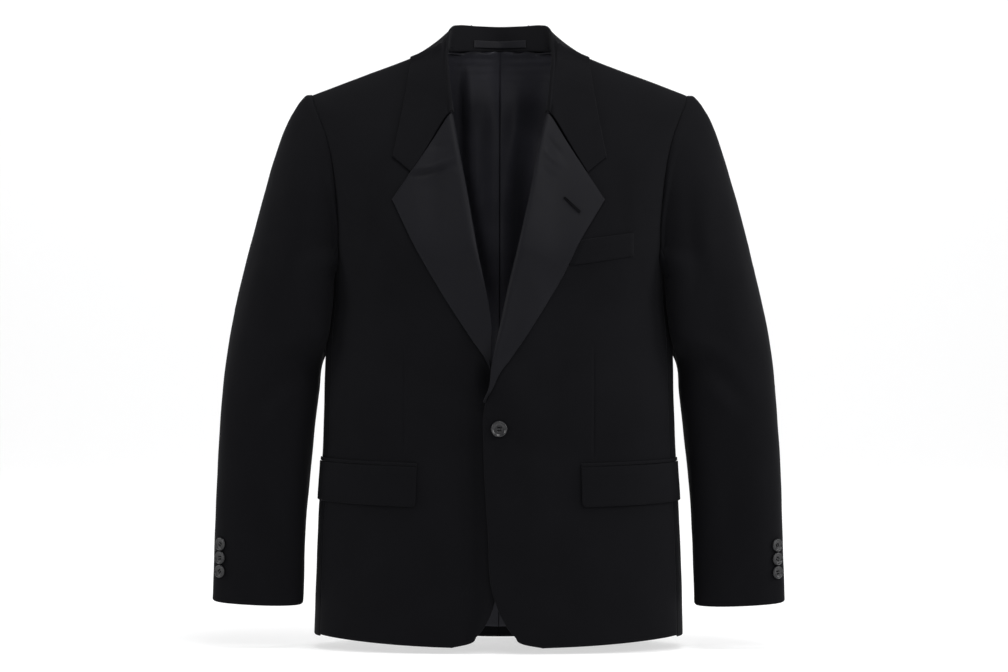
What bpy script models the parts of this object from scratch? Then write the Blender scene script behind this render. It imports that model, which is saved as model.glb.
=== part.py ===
"""Tuxedo jacket: a hollow one-button dinner jacket with notched satin lapels.

Metres, +Z up. The front faces -Y and +X is the wearer's left. The origin is the nape:
the inside of the collar seam at the centre of the back.
"""
import math
from collections import namedtuple

import bmesh
import bpy
import numpy as np

# Driving dimensions
CLOTH = 0.0018          # wall of the wool panels
LINING = 0.0011         # wall of the back lining
LINING_AIR = 0.0009     # air between the back and its lining
LINING_RETURN = 0.006   # how far the lining's side edge stays inside the side seam
SEAM = 0.0002           # each panel's edge stops this short of its seam
OVERLAP = 0.0026        # how far each front leaves the middle layer where they overlap
REST_RISE = 0.0029      # outer face of a piece that lies flat on a front
RING_POWER = 2.6        # squareness of the body's cross section
SHOULDER_Y = -0.062     # depth of the shoulder seams
NECK_X = 0.074          # where the shoulder seam meets the neck
NECK_Y = -0.075         # middle of the neck opening
TIP_X = 0.238           # shoulder point, half of the shoulder width
TIP_Z = -0.055
NOTCH_Z = -0.245        # height where the body seams meet the armhole
UNDERARM_Z = -0.290
UNDERARM_X = 0.2123
HEM_FRONT_Z = -0.7440
HEM_BACK_Z = -0.7500
HEM_SIDE_Z = -0.7355    # hem at the seams beside the side bodies
HEM_OUTER_Z = -0.7337   # hem where the body is widest
HOLE_GAP = 0.0003       # air between a sleeve's head and the armhole
CUFF_Z = -0.694
CUFF_DIP = 0.004        # the cuff's front hangs this much lower than its middle
HINDARM_HOLE = -0.155   # height where the rear sleeve seam leaves the armhole
HINDARM_CUFF_TURN = 4.0
FOREARM_CUFF_TURN = 190.0
GORGE_Z = -0.0842       # upper end of the lapel's roll line
BREAK_Z = -0.4240       # lower end of the lapel's roll line
LAPEL_POINT_Z = -0.1923
LAPEL_FOOT_Z = -0.4290
SEAM_ROOM = 0.0010      # more room over the shoulder seam, where the surface turns quickly
NECK_GAP = 0.0038       # room between the collar's stand and the neck edge it is sewn into
FOLD_REACH = 0.0026     # half thickness of the collar at its fold
PLEAT_DEPTH = 0.0045
FLAP_FRONT_X = 0.101
FLAP_REAR_TURN = 7.0    # degrees forward of the side of the body
FLAP_HEIGHT = 0.049
FLAP_WIDTH = 0.155
FLAP_CORNER = 0.011
FLAP_RISE = 0.0033
POCKET_Z = -0.5222      # pocket seam at its front end
POCKET_CLIMB = 0.0053
JET_HEIGHT = 0.0044
JET_DEPTH = 0.0014
JET_RISE = 0.0024
WELT_X = 0.101
WELT_WIDTH = 0.065
WELT_TOP_Z = -0.2430
WELT_CLIMB = 0.0100
WELT_HEIGHT = 0.0290
BUTTON_X = 0.0003
BUTTON_Z = -0.475
BUTTON_RADIUS = 0.0100
BUTTON_DEPTH = 0.0040
BUTTON_LIFT = 0.0004    # air under every button
CUFF_BUTTON_RADIUS = 0.0080
CUFF_BUTTON_DEPTH = 0.0032
CUFF_BUTTON_PITCH = 0.0170
CUFF_BUTTON_TURN = 24.0
CUFF_BUTTON_RISE = 0.0380   # lowest cuff button above the cuff
LOOP_SHARE = 0.165      # half length of the hanger loop, as a share of the collar
LOOP_BAND = (0.12, 0.42)
LOOP_THICKNESS = 0.0009
SIDES = {"left": 1, "right": -1}

# Finishes: sRGB colour and roughness
WOOL = ("131316", 0.85)
SATIN = ("242429", 0.35)
LINING_CLOTH = ("1c1c22", 0.45)
HORN = ("3c3c3e", 0.45)

Ring = namedtuple("Ring", "z half_width front back centre")
BODY = (
    Ring(-0.760, 0.2335, 0.112, 0.118, -0.080),
    Ring(-0.670, 0.2312, 0.113, 0.112, -0.081),
    Ring(-0.600, 0.2285, 0.114, 0.105, -0.082),
    Ring(-0.500, 0.2225, 0.114, 0.095, -0.084),
    Ring(-0.430, 0.2203, 0.117, 0.095, -0.084),
    Ring(-0.376, 0.2190, 0.121, 0.101, -0.082),
    Ring(-0.290, 0.2120, 0.124, 0.117, -0.080),
    Ring(-0.230, 0.2120, 0.124, 0.123, -0.080),
    Ring(-0.168, 0.2185, 0.122, 0.124, -0.080),
    Ring(-0.110, 0.2380, 0.118, 0.121, -0.080),
    Ring(-0.050, 0.2680, 0.112, 0.110, -0.078),
    Ring(0.060, 0.2900, 0.105, 0.100, -0.075),
)
Slope = namedtuple("Slope", "x z front_reach back_reach")
SHOULDER = (
    Slope(0.000, 0.052, 0.300, 0.130),
    Slope(0.040, 0.032, 0.290, 0.134),
    Slope(0.074, 0.0095, 0.280, 0.138),
    Slope(0.104, -0.0038, 0.250, 0.134),
    Slope(0.170, -0.0293, 0.180, 0.120),
    Slope(TIP_X, TIP_Z, 0.115, 0.095),
    Slope(0.270, -0.067, 0.110, 0.090),
)
Edge = namedtuple("Edge", "z left right")
FRONT_EDGE = (
    Edge(-0.7435, 0.055, 0.058),
    Edge(-0.7400, 0.035, 0.040),
    Edge(-0.7310, 0.020, 0.0265),
    Edge(-0.7100, 0.005, 0.012),
    Edge(-0.6860, -0.005, 0.004),
    Edge(-0.6000, -0.0135, -0.010),
    Edge(-0.5200, -0.019, -0.018),
    Edge(-0.4600, -0.022, -0.022),
    Edge(-0.4280, -0.0185, -0.0185),
    Edge(-0.3790, -0.0075, -0.004),
    Edge(-0.3240, 0.0040, 0.0100),
    Edge(-0.2510, 0.0215, 0.0275),
    Edge(-0.1930, 0.0357, 0.0405),
    Edge(-0.1270, 0.0515, 0.0535),
    Edge(-0.0840, 0.0612, 0.0612),
    Edge(-0.0450, 0.0690, 0.0690),
    Edge(0.0095, 0.0740, 0.0740),
)
LAPEL_EDGE = (
    Edge(-0.4296, -0.0160, -0.0160),
    Edge(-0.3980, 0.0030, 0.0120),
    Edge(-0.3580, 0.0285, 0.0415),
    Edge(-0.3110, 0.0580, 0.0710),
    Edge(-0.2480, 0.0965, 0.1055),
    Edge(-0.1923, 0.1310, 0.1325),
)
Hole = namedtuple("Hole", "z x turn")
ARMHOLE = (
    Hole(NOTCH_Z, 0.2035, 130.0),
    Hole(-0.215, 0.2030, 122.0),
    Hole(-0.185, 0.2045, 113.0),
    Hole(-0.155, 0.2080, 101.0),
    Hole(-0.130, 0.2125, 90.0),
    Hole(-0.105, 0.2195, 74.0),
    Hole(-0.085, 0.2275, 57.0),
    Hole(-0.066, 0.2350, 34.0),
    Hole(TIP_Z, TIP_X, 0.0),
)
Tube = namedtuple("Tube", "z outer inner centre half_depth")
SLEEVE = (
    Tube(-0.704, 0.3602, 0.2464, -0.105, 0.0300),
    Tube(-0.606, 0.3578, 0.2440, -0.094, 0.0440),
    Tube(-0.480, 0.3530, 0.2335, -0.084, 0.0560),
    Tube(-0.376, 0.3435, 0.2210, -0.079, 0.0640),
    Tube(-0.340, 0.3375, 0.2172, -0.078, 0.0660),
    Tube(UNDERARM_Z, 0.3262, 0.2126, -0.078, 0.0670),
    Tube(-0.245, 0.3148, 0.2080, -0.077, 0.0680),
    Tube(-0.178, 0.2972, 0.2080, -0.074, 0.0680),
    Tube(-0.138, 0.2857, 0.2080, -0.070, 0.0600),
    Tube(-0.100, 0.2728, 0.2080, -0.066, 0.0500),
    Tube(-0.075, 0.2608, 0.2080, -0.064, 0.0400),
    Tube(TIP_Z, 0.2450, 0.2080, -0.062, 0.0300),
)
Fold = namedtuple("Fold", "share x y z edge_x edge_z edge_face seam_x seam_z")
COLLAR = (
    Fold(0.00, 0.0000, 0.0030, 0.0370, 0.0000, -0.0170, 1, 0.0000, 0.0000),
    Fold(0.15, 0.0310, -0.0010, 0.0375, 0.0450, -0.0165, 1, 0.0350, 0.0010),
    Fold(0.30, 0.0530, -0.0160, 0.0375, 0.0830, -0.0150, 1, 0.0620, 0.0045),
    Fold(0.42, 0.0630, -0.0360, 0.0335, 0.1030, -0.0110, 1, 0.0710, 0.0080),
    Fold(0.52, 0.0670, -0.0600, 0.0205, 0.1110, -0.0070, 0, 0.0740, 0.0090),
    Fold(0.62, 0.0680, -0.0850, -0.0020, 0.1140, -0.0250, -1, 0.0735, -0.0080),
    Fold(0.75, 0.0665, -0.1080, -0.0280, 0.1180, -0.0520, -1, 0.0715, -0.0300),
    Fold(0.88, 0.0640, -0.1270, -0.0560, 0.1240, -0.0900, -1, 0.0672, -0.0560),
    Fold(1.00, 0.0622, -0.1375, -0.0812, 0.1345, -0.1393, -1, 0.0620, -0.0800),
)
GORGE_START = (0.0632, -0.0812)
NOTCH_CORNER = (0.1102, -0.1566)
NOTCH_SHARE = 0.62      # place of the notch's corner along the collar's end
RollPoint = namedtuple("RollPoint", "share along rise")
ROLL = (
    RollPoint(0.00, -0.0024, -0.0009),
    RollPoint(0.00, -0.0033, 0.0020),
    RollPoint(0.00, -0.0010, 0.0052),
    RollPoint(0.08, 0.0, 0.0062),
    RollPoint(0.30, 0.0, 0.0049),
    RollPoint(0.55, 0.0, 0.0037),
    RollPoint(0.80, 0.0, 0.0030),
    RollPoint(1.00, 0.0, REST_RISE),
)
Soft = namedtuple("Soft", "start end")
ROLL_SOFT = {"left": Soft(0.330, 0.405), "right": Soft(0.240, 0.325)}   # depths where the roll flattens
Turned = namedtuple("Turned", "radius height")
BUTTON_PROFILE = (
    Turned(0.00, 0.00),
    Turned(0.82, 0.00),
    Turned(1.00, 0.50),
    Turned(0.90, 1.00),
    Turned(0.80, 0.95),
    Turned(0.64, 0.60),
    Turned(0.00, 0.56),
)
LEVELS = (-0.727, -0.712, -0.685, -0.640, -0.580, -0.520, -0.460, -0.400, -0.345, -0.295)
EDGE_LEVELS = (-0.7435, -0.7385, -0.726, -0.698, -0.650, -0.585, -0.520, -0.460, -0.402, -0.345,
               -0.290, -0.232, -0.196, -0.160, -0.124, -0.094, -0.064, -0.038, -0.014, 0.0095)
BACK_SHARES = (0.0, 0.09, 0.175, 0.25, 0.305, 0.43, 0.59, 0.75, 0.89, 1.0)
BOTTOM_SHARES = (-1.0, -0.72, -0.40, 0.0, 0.40, 0.72, 1.0)
SLEEVE_CLIMB = (0.0, 0.02, 0.05, 0.09, 0.15, 0.22, 0.31, 0.42, 0.54, 0.66, 0.78, 0.89, 1.0)
FALL_SHARES = (0.31, 0.62, 0.81, 1.0)
FLAP_DROPS = (0.0, 0.25, 0.55, 0.85, 1.0)
PLEAT_SHARES = (0.15, 0.50)


def spline(places, values, at):
    """Values read between rising places on a smooth curve; a value may be a number or a point."""
    slopes = np.gradient(values, places, axis=0)
    at = np.clip(np.asarray(at, float), places[0], places[-1])
    k = np.clip(np.searchsorted(places, at) - 1, 0, len(places) - 2)
    span = places[k + 1] - places[k]
    t = (at - places[k]) / span
    if values.ndim > 1:
        span = span[..., None]
        t = t[..., None]
    start = (1 + 2 * t) * (1 - t) ** 2 * values[k] + t * (1 - t) ** 2 * span * slopes[k]
    end = t * t * (3 - 2 * t) * values[k + 1] + t * t * (t - 1) * span * slopes[k + 1]
    return start + end


def smooth(rows, column, at):
    """One column of a table, read on a smooth curve at a place along its first column."""
    places = np.array([row[0] for row in rows])
    values = np.array([getattr(row, column) for row in rows])
    return spline(places, values, at)


def ease(value, start, end):
    """0 before start, 1 after end, and smooth between."""
    t = np.clip((np.asarray(value, float) - start) / (end - start), 0, 1)
    return t * t * (3 - 2 * t)


def unit(vectors):
    """Vectors of length one."""
    return vectors / np.maximum(np.linalg.norm(vectors, axis=-1, keepdims=True), 1e-9)


def points(x, y, z):
    """One array of points from their coordinates."""
    return np.stack(np.broadcast_arrays(x, y, z), axis=-1).astype(float)


def body_y(x, z, face):
    """Depth of the body cloth's outer surface, on the front (-1) or the back (+1)."""
    depth = smooth(BODY, "front" if face < 0 else "back", z)
    reach = smooth(SHOULDER, "front_reach" if face < 0 else "back_reach", np.abs(x))
    power = 1.35 if face < 0 else 1.6
    across = np.clip(np.abs(x) / smooth(BODY, "half_width", z), 0, 1)
    ring = smooth(BODY, "centre", z) + face * depth * (1 - across ** RING_POWER) ** (1 / RING_POWER)
    drop = np.clip((smooth(SHOULDER, "z", np.abs(x)) - z) / reach, 0, 1)
    return SHOULDER_Y + (ring - SHOULDER_Y) * (1 - (1 - drop) ** power) ** (1 / power)


def body_x(y, z):
    """Half width of the body cloth's outer surface at a depth, below the armhole's notches."""
    offset = y - smooth(BODY, "centre", z)
    depth = np.where(offset < 0, smooth(BODY, "front", z), smooth(BODY, "back", z))
    across = np.clip(np.abs(offset) / depth, 0, 1)
    return smooth(BODY, "half_width", z) * (1 - across ** RING_POWER) ** (1 / RING_POWER)


def face_normal(x, z, face):
    """Outward direction of the body's front or back surface, on the wearer's left half."""
    step = 0.001
    across = (body_y(x + step, z, face) - body_y(x - step, z, face)) / (2 * step)
    down = (body_y(x, z, face) - body_y(x, z - step, face)) / step
    slope = (smooth(SHOULDER, "z", x + step) - smooth(SHOULDER, "z", x - step)) / (2 * step)
    plain = unit(points(-face * across, face * np.ones_like(across), -face * down))
    ridge = unit(points(-slope, 0.0, 1.0))
    near = 1 - ease(smooth(SHOULDER, "z", x) - z, 0.0005, 0.012)
    return unit(plain * (1 - near[..., None]) + ridge * near[..., None])


def side_normal(y, z):
    """Outward direction of the body's side surface, on the wearer's left half."""
    step = 0.001
    across = (body_x(y + step, z) - body_x(y - step, z)) / (2 * step)
    down = (body_x(y, z + step) - body_x(y, z - step)) / (2 * step)
    return unit(points(np.ones_like(across), -across, -down))


def mirrored(grid, side):
    """A grid drawn on the wearer's left, moved to its own side."""
    return grid * np.array((side, 1.0, 1.0))


def inset(grid):
    """The grid with its outline pulled in, so that two pieces leave a gap at their seam."""
    out = grid.copy()
    out[0] += SEAM * unit(grid[1] - grid[0])
    out[-1] += SEAM * unit(grid[-2] - grid[-1])
    out[:, 0] += SEAM * unit(grid[:, 1] - grid[:, 0])
    out[:, -1] += SEAM * unit(grid[:, -2] - grid[:, -1])
    return out


def grid_normals(grid):
    """Directions square to a grid of points."""
    return unit(np.cross(np.gradient(grid, axis=0), np.gradient(grid, axis=1)))


def material(name, hex_code, roughness):
    """A plain Principled material in an sRGB colour."""
    made = bpy.data.materials.new(name)
    made.use_nodes = True
    shader = made.node_tree.nodes["Principled BSDF"]
    channels = [int(hex_code[k:k + 2], 16) / 255 for k in (0, 2, 4)]
    linear = [c / 12.92 if c <= 0.04045 else ((c + 0.055) / 1.055) ** 2.4 for c in channels]
    shader.inputs["Base Color"].default_value = (*linear, 1.0)
    shader.inputs["Roughness"].default_value = roughness
    shader.inputs["Metallic"].default_value = 0.0
    return made


def add_object(name, vertices, faces, finish):
    """One closed mesh object with its faces turned outward and a material of its own."""
    mesh = bpy.data.meshes.new(name)
    mesh.from_pydata([tuple(v) for v in vertices], [], faces)
    build = bmesh.new()
    build.from_mesh(mesh)
    bmesh.ops.triangulate(build, faces=build.faces)
    bmesh.ops.recalc_face_normals(build, faces=build.faces)
    build.to_mesh(mesh)
    build.free()
    mesh.shade_smooth()
    mesh.materials.append(material(name, *finish))
    made = bpy.data.objects.new(name, mesh)
    bpy.context.collection.objects.link(made)
    return made


def wall(name, outer, inner, finish):
    """A cloth wall between two grids of points, closed all round its edge."""
    rows, columns = outer.shape[:2]
    count = rows * columns
    vertices = np.concatenate((outer.reshape(-1, 3), inner.reshape(-1, 3)))
    faces = []
    for r in range(rows - 1):
        for c in range(columns - 1):
            a = r * columns + c
            quad = (a, a + 1, a + columns + 1, a + columns)
            faces.append(quad)
            faces.append(tuple(count + k for k in reversed(quad)))
    border = [c for c in range(columns)]
    border += [r * columns + columns - 1 for r in range(1, rows)]
    border += [(rows - 1) * columns + c for c in range(columns - 2, -1, -1)]
    border += [r * columns for r in range(rows - 2, 0, -1)]
    for a, b in zip(border, border[1:] + border[:1]):
        faces.append((b, a, a + count, b + count))
    return add_object(name, vertices, faces, finish)


def hem_z(x, face):
    """Height of the hem, lowest at the middle of the front and of the back."""
    across = np.abs(x) / smooth(BODY, "half_width", HEM_OUTER_Z)
    lowest = HEM_FRONT_Z if face < 0 else HEM_BACK_Z
    return lowest + (HEM_OUTER_Z - lowest) * across ** 2


def hole_edge(z, face):
    """A point of the armhole's front or back edge, above the notches."""
    x = smooth(ARMHOLE, "x", z)
    return points(x, body_y(x, z, face), z)


def notch_y(face):
    """Depth of the body seam where it meets the armhole."""
    return float(body_y(smooth(ARMHOLE, "x", NOTCH_Z), NOTCH_Z, face))


def underarm(share):
    """A point of the armhole's lower curve, from the front notch (-1) to the back notch (+1)."""
    share = np.asarray(share, float)
    y = 0.5 * (notch_y(-1) + notch_y(1)) + 0.5 * share * (notch_y(1) - notch_y(-1))
    z = NOTCH_Z + (UNDERARM_Z - NOTCH_Z) * np.sqrt(np.clip(1 - share ** 2, 0, 1))
    return points(body_x(y, z), y, z)


def seam_x(z):
    """Half width of the seams between the side body and the front or back."""
    share = smooth(ARMHOLE, "x", NOTCH_Z) / smooth(BODY, "half_width", NOTCH_Z)
    return float(share) * smooth(BODY, "half_width", z)


def layer(side, x, z):
    """How far a front leaves the middle layer: outward on the wearer's left, inward on the right."""
    across = 1 - ease(np.abs(x), 0.030, 0.075)
    return side * OVERLAP * across * (1 - ease(z, -0.330, -0.260))


def front_points(side, x, z, out=0.0):
    """Points on a front's outer surface, moved out, in the wearer's left half's coordinates."""
    base = points(x, body_y(x, z, -1), z)
    return base + face_normal(x, z, -1) * (layer(side, x, z) + out)[..., None]


def front_grid(name, columns):
    """A front's half widths and heights: rows from hem to shoulder, columns from edge to side."""
    outer_z = np.array([HEM_SIDE_Z, *LEVELS, *[row.z for row in ARMHOLE]])
    places = np.array(EDGE_LEVELS)
    inner_x = smooth(FRONT_EDGE, name, places)
    outer_x = np.where(outer_z <= NOTCH_Z, seam_x(outer_z), smooth(ARMHOLE, "x", outer_z))
    share = np.sin(0.5 * math.pi * np.linspace(0, 1, columns) ** 0.9)
    x = inner_x[:, None] + (outer_x - inner_x)[:, None] * share
    z = places[:, None] + (outer_z - places)[:, None] * share
    climb = np.linspace(0, 1, len(places))[:, None]
    top = smooth(SHOULDER, "z", x[-1])
    z += (top - z[-1]) * climb ** 6
    z += (hem_z(x[0], -1) - z[0]) * (1 - climb) ** 12
    z[0, 0] = places[0]
    return x, z


def add_fronts():
    """Both fronts, each ending at the armhole, the shoulder seam, the roll line and the hem."""
    for name, side in SIDES.items():
        x, z = front_grid(name, 10)
        outer = front_points(side, x, z)
        inner = inset(outer) - face_normal(x, z, -1) * CLOTH
        wall("front_" + name, mirrored(inset(outer), side), mirrored(inner, side), WOOL)


def back_grid():
    """Half widths and heights of a back: rows from hem to shoulder, columns from the centre out."""
    outer_z = np.array([HEM_SIDE_Z, *LEVELS, *[row.z for row in ARMHOLE]])
    places = np.interp(outer_z, (HEM_SIDE_Z, NOTCH_Z, TIP_Z), (HEM_BACK_Z, -0.205, 0.0))
    outer_x = np.where(outer_z <= NOTCH_Z, seam_x(outer_z), smooth(ARMHOLE, "x", outer_z))
    share = np.array(BACK_SHARES)
    x = outer_x[:, None] * share
    z = places[:, None] + (outer_z - places)[:, None] * share
    climb = np.linspace(0, 1, len(places))[:, None]
    neck = np.clip(x[-1] / NECK_X, 0, 1) ** 2.2 * smooth(SHOULDER, "z", NECK_X)
    top = np.where(x[-1] < NECK_X, neck, smooth(SHOULDER, "z", x[-1]))
    z += (top - z[-1]) * climb ** 6
    z += (hem_z(x[0], 1) - z[0]) * (1 - climb) ** 12
    return x, z


def add_backs():
    """Both backs, joined at the centre seam, from the hem to the shoulder and the neck."""
    x, z = back_grid()
    outer = points(x, body_y(x, z, 1), z)
    inner = inset(outer) - face_normal(x, z, 1) * CLOTH
    for name, side in SIDES.items():
        wall("back_" + name, mirrored(inset(outer), side), mirrored(inner, side), WOOL)


def add_sides():
    """The side bodies, between the front and the back under each arm."""
    bottom = underarm(BOTTOM_SHARES)
    edge_z = np.array([HEM_SIDE_Z, *LEVELS, NOTCH_Z])
    climb = (edge_z - edge_z[0]) / (edge_z[-1] - edge_z[0])
    share = 0.5 * (1 + np.array(BOTTOM_SHARES))
    z = edge_z[0] + climb[:, None] * (bottom[:, 2] - edge_z[0])
    front_y = body_y(seam_x(edge_z), edge_z, -1)
    back_y = body_y(seam_x(edge_z), edge_z, 1)
    y = front_y[:, None] + (back_y - front_y)[:, None] * share
    outer = points(body_x(y, z), y, z)
    inner = inset(outer) - side_normal(y, z) * CLOTH
    for name, side in SIDES.items():
        wall("side_" + name, mirrored(inset(outer), side), mirrored(inner, side), WOOL)


def hole_turn(z):
    """Degrees round the sleeve at which its section meets the armhole's edge."""
    share = np.sqrt(np.clip(1 - ((NOTCH_Z - z) / (NOTCH_Z - UNDERARM_Z)) ** 2, 0, 1))
    low = 180 - np.degrees(np.arcsin(share * math.sin(math.radians(ARMHOLE[0].turn))))
    return np.where(z < NOTCH_Z, low, smooth(ARMHOLE, "turn", z))


def tube_points(turn, z):
    """Points of the left sleeve's surface: 0 degrees is outward, 90 forward and 180 inward."""
    face = np.where(np.sin(np.radians(turn)) >= 0, -1.0, 1.0)
    outer = smooth(SLEEVE, "outer", z)
    centre = smooth(SLEEVE, "centre", z)
    low_width = 0.5 * (outer - smooth(SLEEVE, "inner", z))
    low_depth = smooth(SLEEVE, "half_depth", z)
    edge = np.radians(np.clip(hole_turn(z), 14, 180))
    notch_x = ARMHOLE[0].x
    low_x = notch_x + (UNDERARM_X - notch_x) * (NOTCH_Z - z) / (NOTCH_Z - UNDERARM_Z)
    hole_x = np.where(z < NOTCH_Z, low_x, smooth(ARMHOLE, "x", z))
    high_width = (outer - hole_x) / (1 - np.cos(edge))
    hole_y = np.where(face < 0, body_y(hole_x, z, -1), body_y(hole_x, z, 1))
    high_depth = np.abs(hole_y - centre) / np.maximum(np.sin(edge), 0.2)
    low = ease(-z, -NOTCH_Z - 0.010, -UNDERARM_Z)
    width = np.where(z > UNDERARM_Z, high_width * (1 - low) + low_width * low, low_width)
    depth = high_depth * (1 - low) + low_depth * low
    x = outer - width + width * np.cos(np.radians(turn))
    return points(x, centre - depth * np.sin(np.radians(turn)), z)


def sleeve_holes():
    """Armhole points for the columns of the top sleeve and of the under sleeve, with their turns."""
    heights = np.array([row.z for row in ARMHOLE])
    back_high = heights[(heights >= HINDARM_HOLE) & (heights < heights[-1])]
    back_low = heights[heights <= HINDARM_HOLE]
    bottom = underarm(BOTTOM_SHARES)
    top = np.concatenate((hole_edge(back_high, 1), hole_edge(heights[::-1], -1)))
    top_turns = np.concatenate((-hole_turn(back_high), hole_turn(heights[::-1])))
    under = np.concatenate((bottom, hole_edge(back_low[1:], 1)))
    low_turns = hole_turn(bottom[:, 2])
    low_turns = np.where(np.array(BOTTOM_SHARES) > 0, 360 - low_turns, low_turns)
    under_turns = np.concatenate((low_turns, 360 - hole_turn(back_low[1:])))
    return top, top_turns, under, under_turns


def sleeve_grid(holes, turns, first_turn, last_turn, climb):
    """Points of one sleeve panel and the directions into it, rows from the armhole to the cuff."""
    climb = np.asarray(climb)[:, None]
    cuff_turns = np.linspace(first_turn, last_turn, len(turns))
    turn = turns + (cuff_turns - turns) * climb ** 1.3
    cuff = CUFF_Z - CUFF_DIP * np.sin(np.radians(cuff_turns))
    z = holes[:, 2] + (cuff - holes[:, 2]) * climb
    grid = tube_points(turn, z)
    grid[0] = holes + np.array((HOLE_GAP, 0.0, 0.0))
    inward = tube_inward(turn, z)
    inward[0] = head_inward(holes, turns)
    return grid, inward


def tube_inward(turn, z):
    """Directions into the left sleeve from its surface."""
    round_arm = tube_points(turn + 1.0, z) - tube_points(turn - 1.0, z)
    along = tube_points(turn, z + 0.001) - tube_points(turn, z - 0.001)
    return unit(np.cross(round_arm, along))


def head_inward(holes, turns):
    """Directions into the sleeve at the armhole, following the body's cloth where the two meet flat."""
    z = holes[:, 2]
    own = tube_inward(turns, np.minimum(z, ARMHOLE[-1].z - 0.004))
    front = -face_normal(holes[:, 0], z, -1)
    back = -face_normal(holes[:, 0], z, 1)
    body = np.where(np.sin(np.radians(turns))[:, None] >= 0, front, back)
    share = ease(np.sum(body * own, axis=-1), 0.0, 0.5) * (z > NOTCH_Z - 0.001)
    return unit(own + (body - own) * share[:, None])


def add_sleeves():
    """The top and under sleeves, open tubes from the armholes to the cuffs."""
    top, top_turns, under, under_turns = sleeve_holes()
    last = HINDARM_CUFF_TURN + 360
    grids = {
        "top_sleeve_": sleeve_grid(top, top_turns, HINDARM_CUFF_TURN, FOREARM_CUFF_TURN, SLEEVE_CLIMB),
        "under_sleeve_": sleeve_grid(under, under_turns, FOREARM_CUFF_TURN, last, SLEEVE_CLIMB),
    }
    for start, (grid, inward) in grids.items():
        outer = inset(grid)
        inner = outer + inward * CLOTH
        for name, side in SIDES.items():
            wall(start + name, mirrored(outer, side), mirrored(inner, side), WOOL)


def lapel_grid(side, name, rows):
    """Points of a lapel's outer face: rows from the gorge to the break, columns over the roll."""
    roll_z = np.linspace(GORGE_Z, BREAK_Z, rows)
    edge_z = np.linspace(LAPEL_POINT_Z, LAPEL_FOOT_Z, rows)
    roll_x = smooth(FRONT_EDGE, name, roll_z)
    edge_x = smooth(LAPEL_EDGE, name, edge_z)
    share = np.array([row.share for row in ROLL])
    along = np.array([row.along for row in ROLL])
    rise = np.array([row.rise for row in ROLL])
    x = roll_x[:, None] + (edge_x - roll_x)[:, None] * share + along
    z = roll_z[:, None] + (edge_z - roll_z)[:, None] * share
    soft = 1 - ease(-z, ROLL_SOFT[name].start, ROLL_SOFT[name].end)
    rises = np.where(rise > REST_RISE, REST_RISE + (rise - REST_RISE) * soft, rise)
    return front_points(side, x, z, rises)


def outward(grid, towards):
    """Directions square to a grid, on the side of a direction."""
    normals = grid_normals(grid)
    return normals * np.sign(np.sum(normals.mean(axis=(0, 1)) * np.array(towards)))


def add_lapels():
    """Both satin lapels, rolled over the front's edge and lying on the front."""
    for name, side in SIDES.items():
        grid = lapel_grid(side, name, 15)
        outer = inset(grid)
        inner = outer - outward(grid, (0, -1, 0)) * CLOTH
        wall("lapel_" + name, mirrored(outer, side), mirrored(inner, side), SATIN)


def on_body(x, z, face, out):
    """Points moved out from the body's surface; face 0 is the shoulder seam."""
    if face == 0:
        return np.array((x, SHOULDER_Y, float(smooth(SHOULDER, "z", x)) + out + SEAM_ROOM))
    y = float(body_y(x, z, face))
    normal = face_normal(np.array([x]), np.array([z]), face)[0]
    return np.array((x, y, z)) + normal * out


def collar_sections(shares):
    """The collar's neck seam, fold and outer edge at places from the right end (-1) to the left."""
    places = np.array([row.share for row in COLLAR])
    seams = []
    folds = []
    edges = []
    for row in COLLAR:
        face = 1 if row.share < 0.52 else -1
        seam = on_body(row.seam_x, row.seam_z - 0.002, face, 0.0)
        to_neck = unit(np.array((0.0, NECK_Y, seam[2])) - seam)
        seams.append(seam + to_neck * (2 * CLOTH + NECK_GAP))
        folds.append((row.x, row.y, row.z))
        edges.append(on_body(row.edge_x, row.edge_z, row.edge_face, REST_RISE))
    both = np.concatenate((-places[:0:-1], places))
    out = []
    for half in (np.array(seams), np.array(folds), np.array(edges)):
        other = half[:0:-1] * np.array((-1, 1, 1))
        out.append(spline(both, np.concatenate((other, half)), shares))
    return out


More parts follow.
